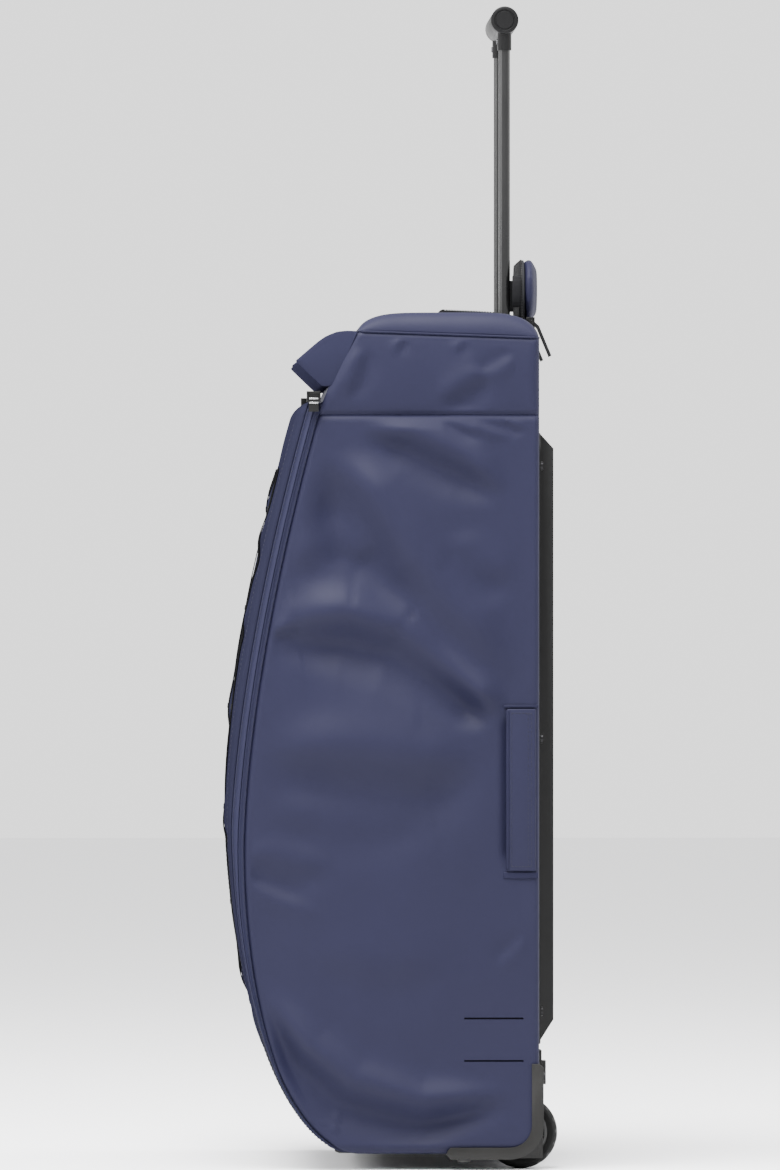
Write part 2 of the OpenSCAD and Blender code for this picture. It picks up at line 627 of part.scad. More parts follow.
// Return springs: each is a coil swept as one closed polyhedron
module rod_springs() color(steel) both() {
    turns = 5;
    per_turn = 12;
    ring = 6;
    z0 = spring_low_z + wire_r + 0.02;
    rise = spring_len - 2 * wire_r - 0.04;
    n = turns * per_turn;
    points = [for (i = [0:n], j = [0:ring - 1])
        let (a = 360 * i / per_turn, b = 360 * j / ring, r = spring_r + wire_r * cos(b))
            [rod_x0 + r * cos(a), fy(tube_d) + r * sin(a), z0 + rise * i / n + wire_r * sin(b)]];
    sides = [for (i = [0:n - 1], j = [0:ring - 1], half = [0, 1]) let (k = (j + 1) % ring)
        half == 0 ? [i * ring + j, i * ring + k, (i + 1) * ring + k]
                  : [i * ring + j, (i + 1) * ring + k, (i + 1) * ring + j]];
    polyhedron(points, concat(
        [[for (j = [ring - 1:-1:0]) j]], sides, [[for (j = [0:ring - 1]) n * ring + j]]));
}

// ---- Front lid ----
module front_lid() color(navy) difference() {
    across(-half_w, half_w) polygon(concat(
        curve(function(z) rim_d(z) + 0.01, lid_low_z, lid_top_z),
        reversed(curve(front_d, lid_low_z, lid_top_z))));
    across(-in_x, in_x) polygon(concat(
        curve(function(z) rim_d(z) - cut, lid_hollow_z, lid_top_z - wall),
        reversed(curve(function(z) max(rim_d(z) + 0.3, front_d(z) - lid_wall),
            lid_hollow_z, lid_top_z - wall))));
}

// Its half of the tape starts a little above the hinge line, so that it turns clear of the body's half
module zip_tape_lid() color(navy) {
    tape_sides(function(z) slit_d(z) + gap / 2, rim_d, lid_low_z + 6);
    block(-in_x, in_x, slit_d(lid_top_z) + gap / 2, rim_d(lid_top_z), lid_top_z - wall, lid_top_z);
}

// Sliders of the main zip, at the lid's top corners, with ears that hold their pulls' pins
slider_d = [edge_top_d + 2, edge_top_d + 15];
slider_z = lid_top_z + 7;
ear_t = 1.7;
module zip_sliders() color(black) both() {
    block(half_w - 3.5, half_w + 4, slider_d[0], slider_d[1], lid_top_z + 0.05, lid_top_z + 10);
    for (d = [slider_d[0], slider_d[1] - ear_t]) difference() {
        block(half_w + 3, half_w + 8, d, d + ear_t, lid_top_z + 3, lid_top_z + 10);
        rod_y(1 + run_gap, half_w + 6, slider_d[0] - cut, slider_d[1] + cut, slider_z);
    }
}

module zip_pull(side) color(black) sided(side) {
    block(half_w + 5, half_w + 7, slider_d[0] + ear_t + gap, slider_d[1] - ear_t - gap,
        lid_top_z - 9, lid_top_z + 8);
    rod_y(1, half_w + 6, slider_d[0], slider_d[1], slider_z);
}

module front_webbing() color(black) both() across(webbing_x - webbing_w / 2, webbing_x + webbing_w / 2)
    polygon(concat(
        curve(function(z) front_d(z) + gap, webbing_low_z, lid_top_z - 60),
        reversed(curve(function(z) front_d(z) + gap + webbing_t, webbing_low_z, lid_top_z - 60))));

// ---- Side grab handles ----
grab_back_d = 3.5;
module grab_handle(side) color(navy) sided(side)
    block(half_w + gap, half_w + gap + grab_t, grab_back_d, grab_back_d + grab_w, grab_z, grab_z + grab_l);

// Stitched bands above and below each handle
module grab_tabs() color(navy) both()
    for (z = [[grab_z - 7, grab_z - 1], [grab_z + grab_l + 1, grab_z + grab_l + 4]])
        block(half_w, half_w + 1.5, 1, grab_back_d + grab_w + 3, z[0], z[1]);

side_panel(-1);  // side_panel_left
side_panel(1);  // side_panel_right
hood_side(-1);  // hood_side_left
hood_side(1);  // hood_side_right
back_panel();
bottom_panel();
hood_front();
hood_top();
visor();
zip_tape_body();
garage_tray();
garage_lip();
garage_sliders();
back_shell();
shell_screws();
trolley_cover();
base_board();
base_bracket();
corner_guard(-1);  // corner_guard_left
corner_guard(1);  // corner_guard_right
guard_screws();
guard_studs();
axles();
axle_spacers();
front_skid();
outer_tube(-1);  // outer_tube_left
outer_tube(1);  // outer_tube_right
tube_collars();
grab_tabs();
inner_tube(-1);  // inner_tube_left
inner_tube(1);  // inner_tube_right
grip_upper();
grip_lower();
grip_caps();
grip_screws();
lock_blocks();
rod_springs();
release_button();
lock_pin(-1);  // lock_pin_left
lock_pin(1);  // lock_pin_right
wheel_hub(-1);  // wheel_hub_left
wheel_hub(1);  // wheel_hub_right
tyre(-1);  // tyre_left
tyre(1);  // tyre_right
bearings(-1);  // bearings_left
bearings(1);  // bearings_right
front_lid();
zip_tape_lid();
zip_sliders();
front_webbing();
zip_pull(-1);  // zip_pull_left
zip_pull(1);  // zip_pull_right
flap_cover();
flap_zip();
flap_lining();
garage_pull(-1);  // garage_pull_left
garage_pull(1);  // garage_pull_right
grab_handle(-1);  // grab_handle_left
grab_handle(1);  // grab_handle_right
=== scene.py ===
"""Looks of a rolling duffel bag: sewn cloth panels, zips, hard back, wheels and trolley handle."""

import logging
import math
from dataclasses import dataclass, replace
from enum import Enum
from itertools import product
from typing import Callable, Iterable, Optional, Sequence

import bmesh
import bpy
from mathutils import Matrix, Vector, noise


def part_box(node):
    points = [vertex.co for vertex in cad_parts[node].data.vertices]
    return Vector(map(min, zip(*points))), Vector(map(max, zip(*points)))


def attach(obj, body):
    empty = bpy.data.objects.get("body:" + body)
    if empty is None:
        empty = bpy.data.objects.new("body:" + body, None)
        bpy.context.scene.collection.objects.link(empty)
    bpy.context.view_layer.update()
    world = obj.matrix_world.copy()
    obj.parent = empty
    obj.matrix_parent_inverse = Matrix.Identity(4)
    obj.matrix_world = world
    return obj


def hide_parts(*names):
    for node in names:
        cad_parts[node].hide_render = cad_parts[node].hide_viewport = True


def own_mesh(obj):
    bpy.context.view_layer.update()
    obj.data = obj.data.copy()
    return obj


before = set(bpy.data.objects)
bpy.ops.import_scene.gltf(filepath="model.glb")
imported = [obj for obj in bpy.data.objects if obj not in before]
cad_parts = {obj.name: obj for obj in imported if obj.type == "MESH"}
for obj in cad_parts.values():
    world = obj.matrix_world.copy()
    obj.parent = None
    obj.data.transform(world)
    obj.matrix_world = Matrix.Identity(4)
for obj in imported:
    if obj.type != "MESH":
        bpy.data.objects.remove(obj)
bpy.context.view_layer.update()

log = logging.getLogger("duffel")
Form = bmesh.types.BMesh
Thing = bpy.types.Object
Node = bpy.types.Node
Socket = bpy.types.NodeSocket
Place = Callable[[float, float], Vector]
QUARTER = math.pi / 2
MIDDLE = Vector((0.0, 0.0, 0.4))  # a point inside the bag, which outer faces look away from
UP = Vector((0.0, 0.0, 1.0))
SIDES = ((-1, "left"), (1, "right"))
MERGE = 1e-6  # points closer than this are one point
TOOTH_PITCH = 0.0026
PANEL_STITCH = 0.0046  # from one stitch to the next, on the panels, the zip tapes and the straps
TAPE_STITCH = 0.0044
STRAP_STITCH = 0.0042
PAD_FRAMES = 20
PAD_PRESSURE = 4.0


def ease(t: float) -> float:
    """A share from 0 to 1 with level ends."""
    t = min(1.0, max(0.0, t))
    return t * t * (3 - 2 * t)


def blend_to(a: float, b: float, t: float) -> float:
    """The value a share t of the way from a to b."""
    return a + (b - a) * t


def spaced(t: float, crowd: float = 0.6) -> float:
    """Moves shares towards both ends, so that the borders of a sheet get finer faces."""
    return t - crowd * math.sin(2 * math.pi * t) / (2 * math.pi)


def turned(share: float, radius: float) -> tuple:
    """How far a rounded corner has run, and how far it is still set in, at a share of its turn."""
    angle = share * QUARTER
    return radius * (1 - math.cos(angle)), radius * (1 - math.sin(angle))


# ---------------------------------------------------------------- finishes


class Grain(Enum):
    """The fine structure of a surface."""

    COATED = "coated cloth"
    WOVEN = "ribbed webbing"
    LINING = "lining cloth"
    MOULDED = "moulded plastic"
    BRUSHED = "anodised metal"
    RUBBER = "rubber"


class NodeSheet:
    """Adds and links shader nodes in one material."""

    def __init__(self, tree: bpy.types.NodeTree) -> None:
        """Starts on an empty node tree."""
        self.tree = tree
        tree.nodes.clear()

    def add(self, kind: str, **values: object) -> Node:
        """Adds a node.

        Args:
            kind: The node's type name without its ShaderNode prefix.
            values: Property values, or input values for names that are not properties.

        Returns:
            The new node.
        """
        node = self.tree.nodes.new("ShaderNode" + kind)
        for name, value in values.items():
            if hasattr(node, name):
                setattr(node, name, value)
            else:
                node.inputs[name.replace("_", " ")].default_value = value
        return node

    def link(self, out: Socket, into: Socket) -> None:
        """Links an output to an input."""
        self.tree.links.new(out, into)

    def texture(self, kind: str, where: Socket, **values: object) -> Node:
        """Adds a texture that reads a place on the surface.

        Args:
            kind: The texture node's type name without its ShaderNodeTex prefix.
            where: Place on the surface.
            values: As for add().

        Returns:
            The texture node.
        """
        node = self.add("Tex" + kind, **values)
        self.link(where, node.inputs["Vector"])
        return node

    def mix(self, share: Socket, *ends: object) -> Socket:
        """Mixes two colours, each a socket or three numbers.

        Args:
            share: Share of the second colour.
            ends: The two colours.

        Returns:
            The mixed colour.
        """
        node = self.add("Mix", data_type="RGBA")
        self.link(share, node.inputs[0])
        for slot, end in zip((6, 7), ends):
            if isinstance(end, tuple):
                node.inputs[slot].default_value = (*end, 1.0)
            else:
                self.link(end, node.inputs[slot])
        return node.outputs[2]

    def math(self, operation: str, a: object, b: object) -> Socket:
        """A Math node on two sockets or numbers.

        Args:
            operation: The node's operation.
            a: First value.
            b: Second value.

        Returns:
            The result.
        """
        node = self.add("Math", operation=operation)
        for slot, value in ((0, a), (1, b)):
            if isinstance(value, (int, float)):
                node.inputs[slot].default_value = value
            else:
                self.link(value, node.inputs[slot])
        return node.outputs[0]

    def ramp(self, value: Socket, low: float, high: float, to_low: float, to_high: float) -> Socket:
        """Maps a value from one range to another, held at both ends.

        Args:
            value: The value to map.
            low: Start of its range.
            high: End of its range.
            to_low: Start of the new range.
            to_high: End of the new range.

        Returns:
            The mapped value.
        """
        node = self.add("MapRange")
        for slot, number in zip((1, 2, 3, 4), (low, high, to_low, to_high)):
            node.inputs[slot].default_value = number
        self.link(value, node.inputs[0])
        return node.outputs[0]


@dataclass(frozen=True)
class Finish:
    """One finish, made as a procedural material.

    Attributes:
        name: The material's name.
        colour: Linear base colour.
        grain: The kind of fine structure.
        roughness: Base roughness.
        pitch: Size of the fine structure in metres.
        relief: Depth of the fine structure in metres.
        mottle: Share by which the colour varies in broad patches.
        patch: Size of those patches in metres.
        wear: Share of lightening on worn edges.
        metallic: Metal share.
        gloss: Strength of reflections, 0.5 for plain plastic.
    """

    name: str
    colour: tuple
    grain: Grain
    roughness: float = 0.5
    pitch: float = 0.001
    relief: float = 0.0001
    mottle: float = 0.08
    patch: float = 0.12
    wear: float = 0.0
    metallic: float = 0.0
    gloss: float = 0.5

    def material(self) -> bpy.types.Material:
        """The material, made on first use.

        Returns:
            The material.
        """
        found = bpy.data.materials.get(self.name)
        if found:
            return found
        made = bpy.data.materials.new(self.name)
        made.use_nodes = True
        sheet = NodeSheet(made.node_tree)
        out = sheet.add("OutputMaterial")
        shader = sheet.add("BsdfPrincipled")
        sheet.link(shader.outputs[0], out.inputs[0])
        shader.inputs["Metallic"].default_value = self.metallic
        shader.inputs["Specular IOR Level"].default_value = self.gloss
        place = sheet.add("TexCoord")
        where = place.outputs["Object"]
        self._colour(sheet, shader, where)
        self._roughness(sheet, shader, where)
        weave = place.outputs["UV"] if self.grain is Grain.WOVEN else where
        self._relief(sheet, shader, where, weave)
        made.diffuse_color = (*self.colour, 1.0)
        return made

    def _colour(self, sheet: NodeSheet, shader: Node, where: Socket) -> None:
        """Broad patches of lighter and darker colour, and paler worn edges.

        Args:
            sheet: The material's nodes.
            shader: The surface shader.
            where: Place on the surface.
        """
        broad = sheet.texture("Noise", where, Scale=1 / self.patch, Detail=4.0, Roughness=0.55)
        fine = sheet.texture("Noise", where, Scale=1 / (self.pitch * 3), Detail=3.0, Roughness=0.6)
        both = sheet.math("ADD", sheet.math("MULTIPLY", broad.outputs["Fac"], 0.7),
                          sheet.math("MULTIPLY", fine.outputs["Fac"], 0.3))
        share = sheet.ramp(both, 0.32, 0.68, 0.0, 1.0)
        colour = sheet.mix(share, *(tuple(min(1.0, c * tone) for c in self.colour)
                                    for tone in (1 - self.mottle, 1 + self.mottle)))
        if self.wear:
            edge = sheet.add("NewGeometry").outputs["Pointiness"]
            worn = sheet.math("MULTIPLY", sheet.ramp(edge, 0.52, 0.60, 0.0, self.wear), share)
            colour = sheet.mix(worn, colour, tuple(min(1.0, 0.06 + c * 2.2) for c in self.colour))
        sheet.link(colour, shader.inputs["Base Color"])

    def _roughness(self, sheet: NodeSheet, shader: Node, where: Socket) -> None:
        """Roughness that drifts a little over the surface.

        Args:
            sheet: The material's nodes.
            shader: The surface shader.
            where: Place on the surface.
        """
        drift = sheet.texture("Noise", where, Scale=0.6 / self.patch + 9, Detail=5.0)
        low, high = self.roughness - 0.05, self.roughness + 0.06
        sheet.link(sheet.ramp(drift.outputs["Fac"], 0.3, 0.7, low, high), shader.inputs["Roughness"])

    def _relief(self, sheet: NodeSheet, shader: Node, where: Socket, weave: Socket) -> None:
        """The bump of the grain.

        Args:
            sheet: The material's nodes.
            shader: The surface shader.
            where: Place on the surface.
            weave: Place along the weave.
        """
        if self.grain in (Grain.WOVEN, Grain.LINING):
            height = self._threads(sheet, weave)
        elif self.grain is Grain.BRUSHED:
            along = sheet.add("Mapping", Scale=(1.0, 1.0, 0.02))
            sheet.link(where, along.inputs["Vector"])
            height = sheet.texture("Noise", along.outputs[0], Scale=1 / self.pitch, Detail=2.0).outputs["Fac"]
        else:
            grit = sheet.texture("Noise", where, Scale=1 / self.pitch, Detail=3.0, Roughness=0.6)
            height = grit.outputs["Fac"]
            if self.grain is Grain.COATED:
                cells = sheet.texture("Voronoi", where, Scale=0.45 / self.pitch, feature="DISTANCE_TO_EDGE")
                pucker = sheet.texture("Noise", where, Scale=42.0, Detail=2.0, Distortion=0.6)
                height = sheet.math("ADD", sheet.math("MULTIPLY", height, 0.5), sheet.math(
                    "ADD", sheet.ramp(cells.outputs["Distance"], 0.0, 0.12, 0.0, 0.5),
                    sheet.math("MULTIPLY", pucker.outputs["Fac"], 3.0)))
        bump = sheet.add("Bump", Strength=1.0, Distance=self.relief)
        sheet.link(height, bump.inputs["Height"])
        sheet.link(bump.outputs[0], shader.inputs["Normal"])

    def _threads(self, sheet: NodeSheet, weave: Socket) -> Socket:
        """Crossing rows of threads.

        Args:
            sheet: The material's nodes.
            weave: Place along the weave.

        Returns:
            The height of the threads.
        """
        rows = []
        for bands in ("X", "Z" if self.grain is Grain.LINING else "Y"):
            wave = sheet.texture("Wave", weave, bands_direction=bands, Scale=0.314 / self.pitch,
                                 Distortion=0.4, Detail=1.0)
            rows.append(wave.outputs["Fac"])
        return sheet.math("MULTIPLY", rows[0], sheet.math("ADD", rows[1], 0.35))


CLOTH = Finish("padded_cloth", (0.0076, 0.0076, 0.0200), Grain.COATED, 0.60, 0.0006, 0.00005, 0.06, 0.2,
               gloss=0.10)
# Lid and visor cloth: the side cloth's navy with no reflections, greyed and lightened so that the colour stands
# in for the side cloth's sheen. The colour is partly the cloth's own navy and partly painted sheen. The visor's
# copy is lighter again.
LID_CLOTH_PAINTED_SHEEN = replace(CLOTH, name="lid_cloth", colour=(0.0100, 0.0101, 0.0192), gloss=0.0)
VISOR_CLOTH_PAINTED_SHEEN = replace(LID_CLOTH_PAINTED_SHEEN, name="visor_cloth_painted_sheen", colour=(0.0128, 0.0129, 0.0250))
SEWN = Finish("seam_cloth", (0.0066, 0.0066, 0.0175), Grain.COATED, 0.62, 0.0006, 0.00004, 0.05, 0.1,
              gloss=0.08)
TAPE = replace(SEWN, name="zip_tape_cloth", colour=(0.0080, 0.0082, 0.0215), roughness=0.55, pitch=0.0005,
               relief=0.00003, gloss=0.10)
THREAD = Finish("navy_thread", (0.0042, 0.0042, 0.0120), Grain.RUBBER, 0.6, 0.0004, 0.00003, 0.1, 0.02,
                gloss=0.2)
LINING = Finish("lining_cloth", (0.0050, 0.0050, 0.0058), Grain.LINING, 0.75, 0.0012, 0.00012, 0.12, 0.08,
                gloss=0.08)
WEBBING = Finish("ribbed_webbing", (0.0055, 0.0055, 0.0060), Grain.WOVEN, 0.7, 0.0016, 0.0004, 0.15, 0.03,
                 gloss=0.0)
BLACK_THREAD = replace(THREAD, name="black_thread", colour=(0.0085, 0.0085, 0.0092), roughness=0.7, gloss=0.05)
SHELL = Finish("ribbed_shell", (0.0030, 0.0030, 0.0030), Grain.MOULDED, 0.5, 0.0007, 0.00006, 0.1, 0.15,
               wear=0.15, gloss=0.16)
GUARD = Finish("guard_plastic_grey", (0.0040, 0.0038, 0.0034), Grain.MOULDED, 0.42, 0.0006, 0.00004, 0.08, 0.05,
               wear=0.15, gloss=0.18)
BLACK_PLASTIC = Finish("black_plastic", (0.0035, 0.0035, 0.0038), Grain.MOULDED, 0.40, 0.0005, 0.00003,
                       0.1, 0.04,
                       wear=0.15, gloss=0.22)
GRIP = Finish("grip_plastic", (0.0018, 0.0018, 0.0019), Grain.MOULDED, 0.42, 0.0005, 0.00004, 0.08, 0.05,
              wear=0.1, gloss=0.14)
CAP = Finish("cap_plastic_grey", (0.0026, 0.0026, 0.0028), Grain.MOULDED, 0.45, 0.0005, 0.00003, 0.06, 0.03,
             gloss=0.14)
TUBE = Finish("black_tube", (0.0040, 0.0040, 0.0042), Grain.BRUSHED, 0.30, 0.0006, 0.00002, 0.08, 0.1,
              gloss=0.35)
ALUMINIUM = Finish("plain_aluminium", (0.55, 0.55, 0.56), Grain.BRUSHED, 0.38, 0.0006, 0.00003, 0.06, 0.1,
                   metallic=1.0)
STEEL = Finish("screw_steel", (0.13, 0.13, 0.135), Grain.BRUSHED, 0.34, 0.0008, 0.00002, 0.1, 0.02,
               metallic=1.0)
BLACK_STEEL = replace(STEEL, name="blackened_steel", colour=(0.018, 0.018, 0.019), roughness=0.4, metallic=0.9)
# Bright metal for the bars on the zip pulls, which stand in for the highlights on the glossy pulls: a painted
# highlight.
PULL_HIGHLIGHT_METAL = replace(STEEL, name="painted_highlight_metal", colour=(0.40, 0.40, 0.41), roughness=0.22, relief=0.00001,
                 mottle=0.05)
ZIP_METAL = Finish("zip_black_metal", (0.0022, 0.0022, 0.0024), Grain.MOULDED, 0.38, 0.0006, 0.00001, 0.08,
                   0.01,
                   gloss=0.16)
TEETH = Finish("zip_teeth", (0.0040, 0.0040, 0.0046), Grain.RUBBER, 0.5, 0.0005, 0.00002, 0.05, 0.02,
               gloss=0.15)
BAND = Finish("flap_band_grey", (0.0110, 0.0113, 0.0125), Grain.COATED, 0.7, 0.0012, 0.0001, 0.1, 0.03,
              gloss=0.05)
TYRE = Finish("tyre_rubber", (0.0030, 0.0030, 0.0030), Grain.RUBBER, 0.65, 0.0009, 0.00008, 0.15, 0.03,
              wear=0.1,
              gloss=0.12)
HUB = Finish("hub_plastic", (0.0040, 0.0040, 0.0042), Grain.MOULDED, 0.42, 0.0006, 0.00004, 0.08, 0.03,
             wear=0.15,
             gloss=0.2)
STUD = Finish("stud_rubber", (0.0035, 0.0035, 0.0036), Grain.RUBBER, 0.6, 0.0008, 0.00005, 0.1, 0.02,
              gloss=0.15)
INK = Finish("dark_ink", (0.0015, 0.0015, 0.0025), Grain.COATED, 0.7, 0.0006, 0.00003, 0.05, 0.1, gloss=0.0)


# ---------------------------------------------------------------- meshes


def mesh_of(name: str, bm: Form) -> bpy.types.Mesh:
    """Makes a mesh and frees what it was made from.

    Args:
        name: The mesh's name.
        bm: What it is made from.

    Returns:
        The mesh.
    """
    mesh = bpy.data.meshes.new(name)
    bm.to_mesh(mesh)
    bm.free()
    return mesh


def placed(name: str, data: bpy.types.ID) -> Thing:
    """A new object in the scene.

    Args:
        name: The object's name.
        data: Its mesh, lamp or camera.

    Returns:
        The object.
    """
    made = bpy.data.objects.new(name, data)
    bpy.context.scene.collection.objects.link(made)
    return made


def join(whole: Form, part: Form) -> None:
    """Adds a mesh to another one and frees it.

    Args:
        whole: The mesh that grows.
        part: The mesh that is added and freed.
    """
    spare = mesh_of("spare", part)
    whole.from_mesh(spare)
    bpy.data.meshes.remove(spare)


def sheet_of(across: int, along: int, place: Place, size: Sequence[float] = (1.0, 1.0)) -> Form:
    """A grid of faces set out by a function.

    Args:
        across: Faces across the sheet.
        along: Faces along the sheet.
        place: Gives the point for two shares from 0 to 1.
        size: Width and length in metres that the sheet's UV map spans.

    Returns:
        The mesh, open at its borders.
    """
    bm = bmesh.new()
    layer = bm.loops.layers.uv.new("sewn")
    bmesh.ops.create_grid(bm, x_segments=across, y_segments=along, size=0.5, calc_uvs=True)
    for face in bm.faces:
        for loop in face.loops:
            loop[layer].uv = (loop[layer].uv[0] * size[0], loop[layer].uv[1] * size[1])
    for vert in bm.verts:
        vert.co = place(vert.co.x + 0.5, vert.co.y + 0.5)
    return bm


def face_away(bm: Form, inside: Vector = MIDDLE) -> None:
    """Turns an open sheet so that most of its faces look away from a point.

    Args:
        bm: The sheet.
        inside: The point.
    """
    bm.normal_update()
    lean = sum(f.normal.dot(f.calc_center_median() - inside) * f.calc_area() for f in bm.faces)
    if lean < 0:
        bmesh.ops.reverse_faces(bm, faces=bm.faces[:])


def cut_away(bm: Form, low: Sequence[Optional[float]], high: Sequence[Optional[float]]) -> None:
    """Removes the part of a sheet inside a box, along clean cuts.

    Args:
        bm: The sheet.
        low: The box's lowest corner, None where it has no end.
        high: The box's highest corner, None where it has no end.
    """
    for axis in range(3):
        for value in (low[axis], high[axis]):
            if value is not None:
                point, normal = Vector(), Vector()
                point[axis], normal[axis] = value, 1.0
                geom = bm.verts[:] + bm.edges[:] + bm.faces[:]
                bmesh.ops.bisect_plane(bm, geom=geom, dist=MERGE, plane_co=point, plane_no=normal)
    inside = [f for f in bm.faces if all(
        (low[a] is None or f.calc_center_median()[a] > low[a]) and
        (high[a] is None or f.calc_center_median()[a] < high[a]) for a in range(3))]
    bmesh.ops.delete(bm, geom=inside, context="FACES")


def lathe(bm: Form, centre: Vector, profile: Sequence[tuple], steps: int, closed: bool) -> None:
    """Adds a profile turned about an axis that runs across the bag.

    Args:
        bm: The mesh it is added to.
        centre: A point on the axis.
        profile: Radius and place along the axis of each point.
        steps: Faces round the turn.
        closed: Whether the profile's last point joins its first.
    """
    ring = [bm.verts.new(centre + Vector((along, 0, radius))) for radius, along in profile]
    ahead = ring[1:] + ring[:1] if closed else ring[1:]
    edges = [bm.edges.new(pair) for pair in zip(ring, ahead)]
    bmesh.ops.spin(bm, geom=ring + edges, cent=centre, axis=Vector((1, 0, 0)), angle=2 * math.pi,
                   steps=steps, use_merge=True)
    bmesh.ops.remove_doubles(bm, verts=bm.verts, dist=MERGE)


def rounded_block(bm: Form, low: Vector, high: Vector, radius: float, segments: int = 3) -> None:
    """Adds a block with rounded edges between two corners.

    Args:
        bm: The mesh it is added to.
        low: Lowest corner.
        high: Highest corner.
        radius: Radius of the edges.
        segments: Faces across each edge.
    """
    size = high - low
    place = Matrix.Translation((low + high) / 2) @ Matrix.Diagonal((*size, 1.0))
    made = bmesh.ops.create_cube(bm, size=1.0, matrix=place)
    edges = list({e for v in made["verts"] for e in v.link_edges})
    bmesh.ops.bevel(bm, geom=edges, offset=radius, segments=segments, profile=0.5, affect="EDGES",
                    material=-1, clamp_overlap=True)


def basis(place: Vector, along: Vector, out: Vector, size: Sequence[float]) -> Matrix:
    """A matrix with its Z along one way and its X facing out, scaled by size.

    Args:
        place: Its origin.
        along: The way its Z points.
        out: The way its X leans.
        size: Scale along X, Y and Z.

    Returns:
        The matrix.
    """
    z = along.normalized()
    x = (out - z * out.dot(z)).normalized()
    y = z.cross(x)
    turn = Matrix((x, y, z)).transposed().to_4x4()
    return Matrix.Translation(place) @ turn @ Matrix.Diagonal((*size, 1.0))


@dataclass(frozen=True)
class Step:
    """A point on a sewn or toothed line: where it is, the way the line runs and the way out."""

    place: Vector
    along: Vector
    out: Vector


def walk(line: Callable[[float], Vector], out: Callable[[Vector], Vector], length: float, pitch: float) -> list:
    """Even steps along a line.

    Args:
        line: Gives the point for a share from 0 to 1.
        out: Gives the outward way at a point.
        length: The line's length in metres.
        pitch: Distance between steps in metres.

    Returns:
        The steps.
    """
    count = max(2, round(length / pitch))
    steps = []
    for i in range(count):
        here, ahead = line((i + 0.45) / count), line((i + 0.55) / count)
        steps.append(Step((here + ahead) / 2, ahead - here, out(here)))
    return steps


def straight(start: Vector, end: Vector, out: Vector, length: float, pitch: float) -> list:
    """Even steps along a straight line, as many as a length holds."""
    return walk(lambda t: start.lerp(end, t), lambda p: out, length, pitch)


def stitches(steps: Iterable[Step], length: float = 0.0030, radius: float = 0.00035) -> Form:
    """Short rounded threads laid end to end along a line.

    Args:
        steps: The middle of each stitch.
        length: Length of a stitch.
        radius: Radius of the thread.

    Returns:
        The mesh of all stitches.
    """
    bm = bmesh.new()
    for step in steps:
        place = basis(step.place, step.along, step.out, (radius, radius * 1.2, length / 2))
        bmesh.ops.create_icosphere(bm, subdivisions=1, radius=1.0, matrix=place)
    return bm


def teeth(steps: Iterable[Step], size: Sequence[float]) -> Form:
    """A row of small zip teeth, each a tapered block.

    Args:
        steps: The middle of each tooth.
        size: A tooth's height, width and length.

    Returns:
        The mesh of all teeth.
    """
    bm = bmesh.new()
    for step in steps:
        place = basis(step.place, step.along, step.out, size)
        bmesh.ops.create_cone(bm, cap_ends=True, segments=6, radius1=0.5, radius2=0.42, depth=1.0, matrix=place)
    return bm


def softened(node: str, radius: float, segments: int = 2) -> Form:
    """A copy of a hard part with its corners rounded.

    Args:
        node: The part's name.
        radius: Radius of the rounded edges.
        segments: Faces across each rounded edge.

    Returns:
        The mesh.
    """
    bm = bmesh.new()
    bm.from_mesh(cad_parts[node].data)
    bmesh.ops.remove_doubles(bm, verts=bm.verts, dist=2e-6)
    bmesh.ops.dissolve_limit(bm, angle_limit=math.radians(0.6), verts=bm.verts, edges=bm.edges)
    limit = math.radians(28.0)  # edges that turn by more than this are rounded
    edges = [e for e in bm.edges if e.is_manifold and e.calc_face_angle(0.0) > limit]
    if radius:
        bmesh.ops.bevel(bm, geom=edges, offset=radius, segments=segments, profile=0.5, affect="EDGES",
                        material=-1, clamp_overlap=True, offset_type="OFFSET")
    bmesh.ops.triangulate(bm, faces=[f for f in bm.faces if len(f.verts) > 8])
    return bm


def plumped(bm: Form, voxel: float, cap: float) -> Form:
    """Blows a closed form up like a stuffed pad, by a short cloth simulation.

    Args:
        bm: The closed form, which is freed.
        voxel: Size of the cloth's faces.
        cap: The furthest that a point may move.
    """
    scene = bpy.context.scene
    spare = mesh_of("pad", bm)
    pad = placed("pad", spare)
    grid = pad.modifiers.new("grid", "REMESH")
    grid.mode, grid.voxel_size = "VOXEL", voxel
    start = bpy.data.meshes.new_from_object(pad.evaluated_get(bpy.context.evaluated_depsgraph_get()))
    pad.modifiers.clear()
    pad.data = start
    air = pad.modifiers.new("air", "CLOTH")
    air.settings.use_pressure, air.settings.uniform_pressure_force = True, PAD_PRESSURE
    air.settings.effector_weights.gravity = 0.0
    air.point_cache.frame_start, air.point_cache.frame_end = 1, PAD_FRAMES
    for step in range(1, PAD_FRAMES + 1):
        scene.frame_set(step)
    shaped = bpy.data.meshes.new_from_object(pad.evaluated_get(bpy.context.evaluated_depsgraph_get()))
    done = bmesh.new()
    done.from_mesh(shaped)
    for vert, first in zip(done.verts, start.vertices):
        move = vert.co - first.co
        vert.co = first.co + move.normalized() * min(move.length, cap)
    for _ in range(2):
        bmesh.ops.smooth_vert(done, verts=done.verts, factor=0.5, use_axis_x=True, use_axis_y=True,
                              use_axis_z=True)
    bpy.data.objects.remove(pad)
    for mesh in (spare, start, shaped):
        bpy.data.meshes.remove(mesh)
    scene.frame_set(1)
    return done


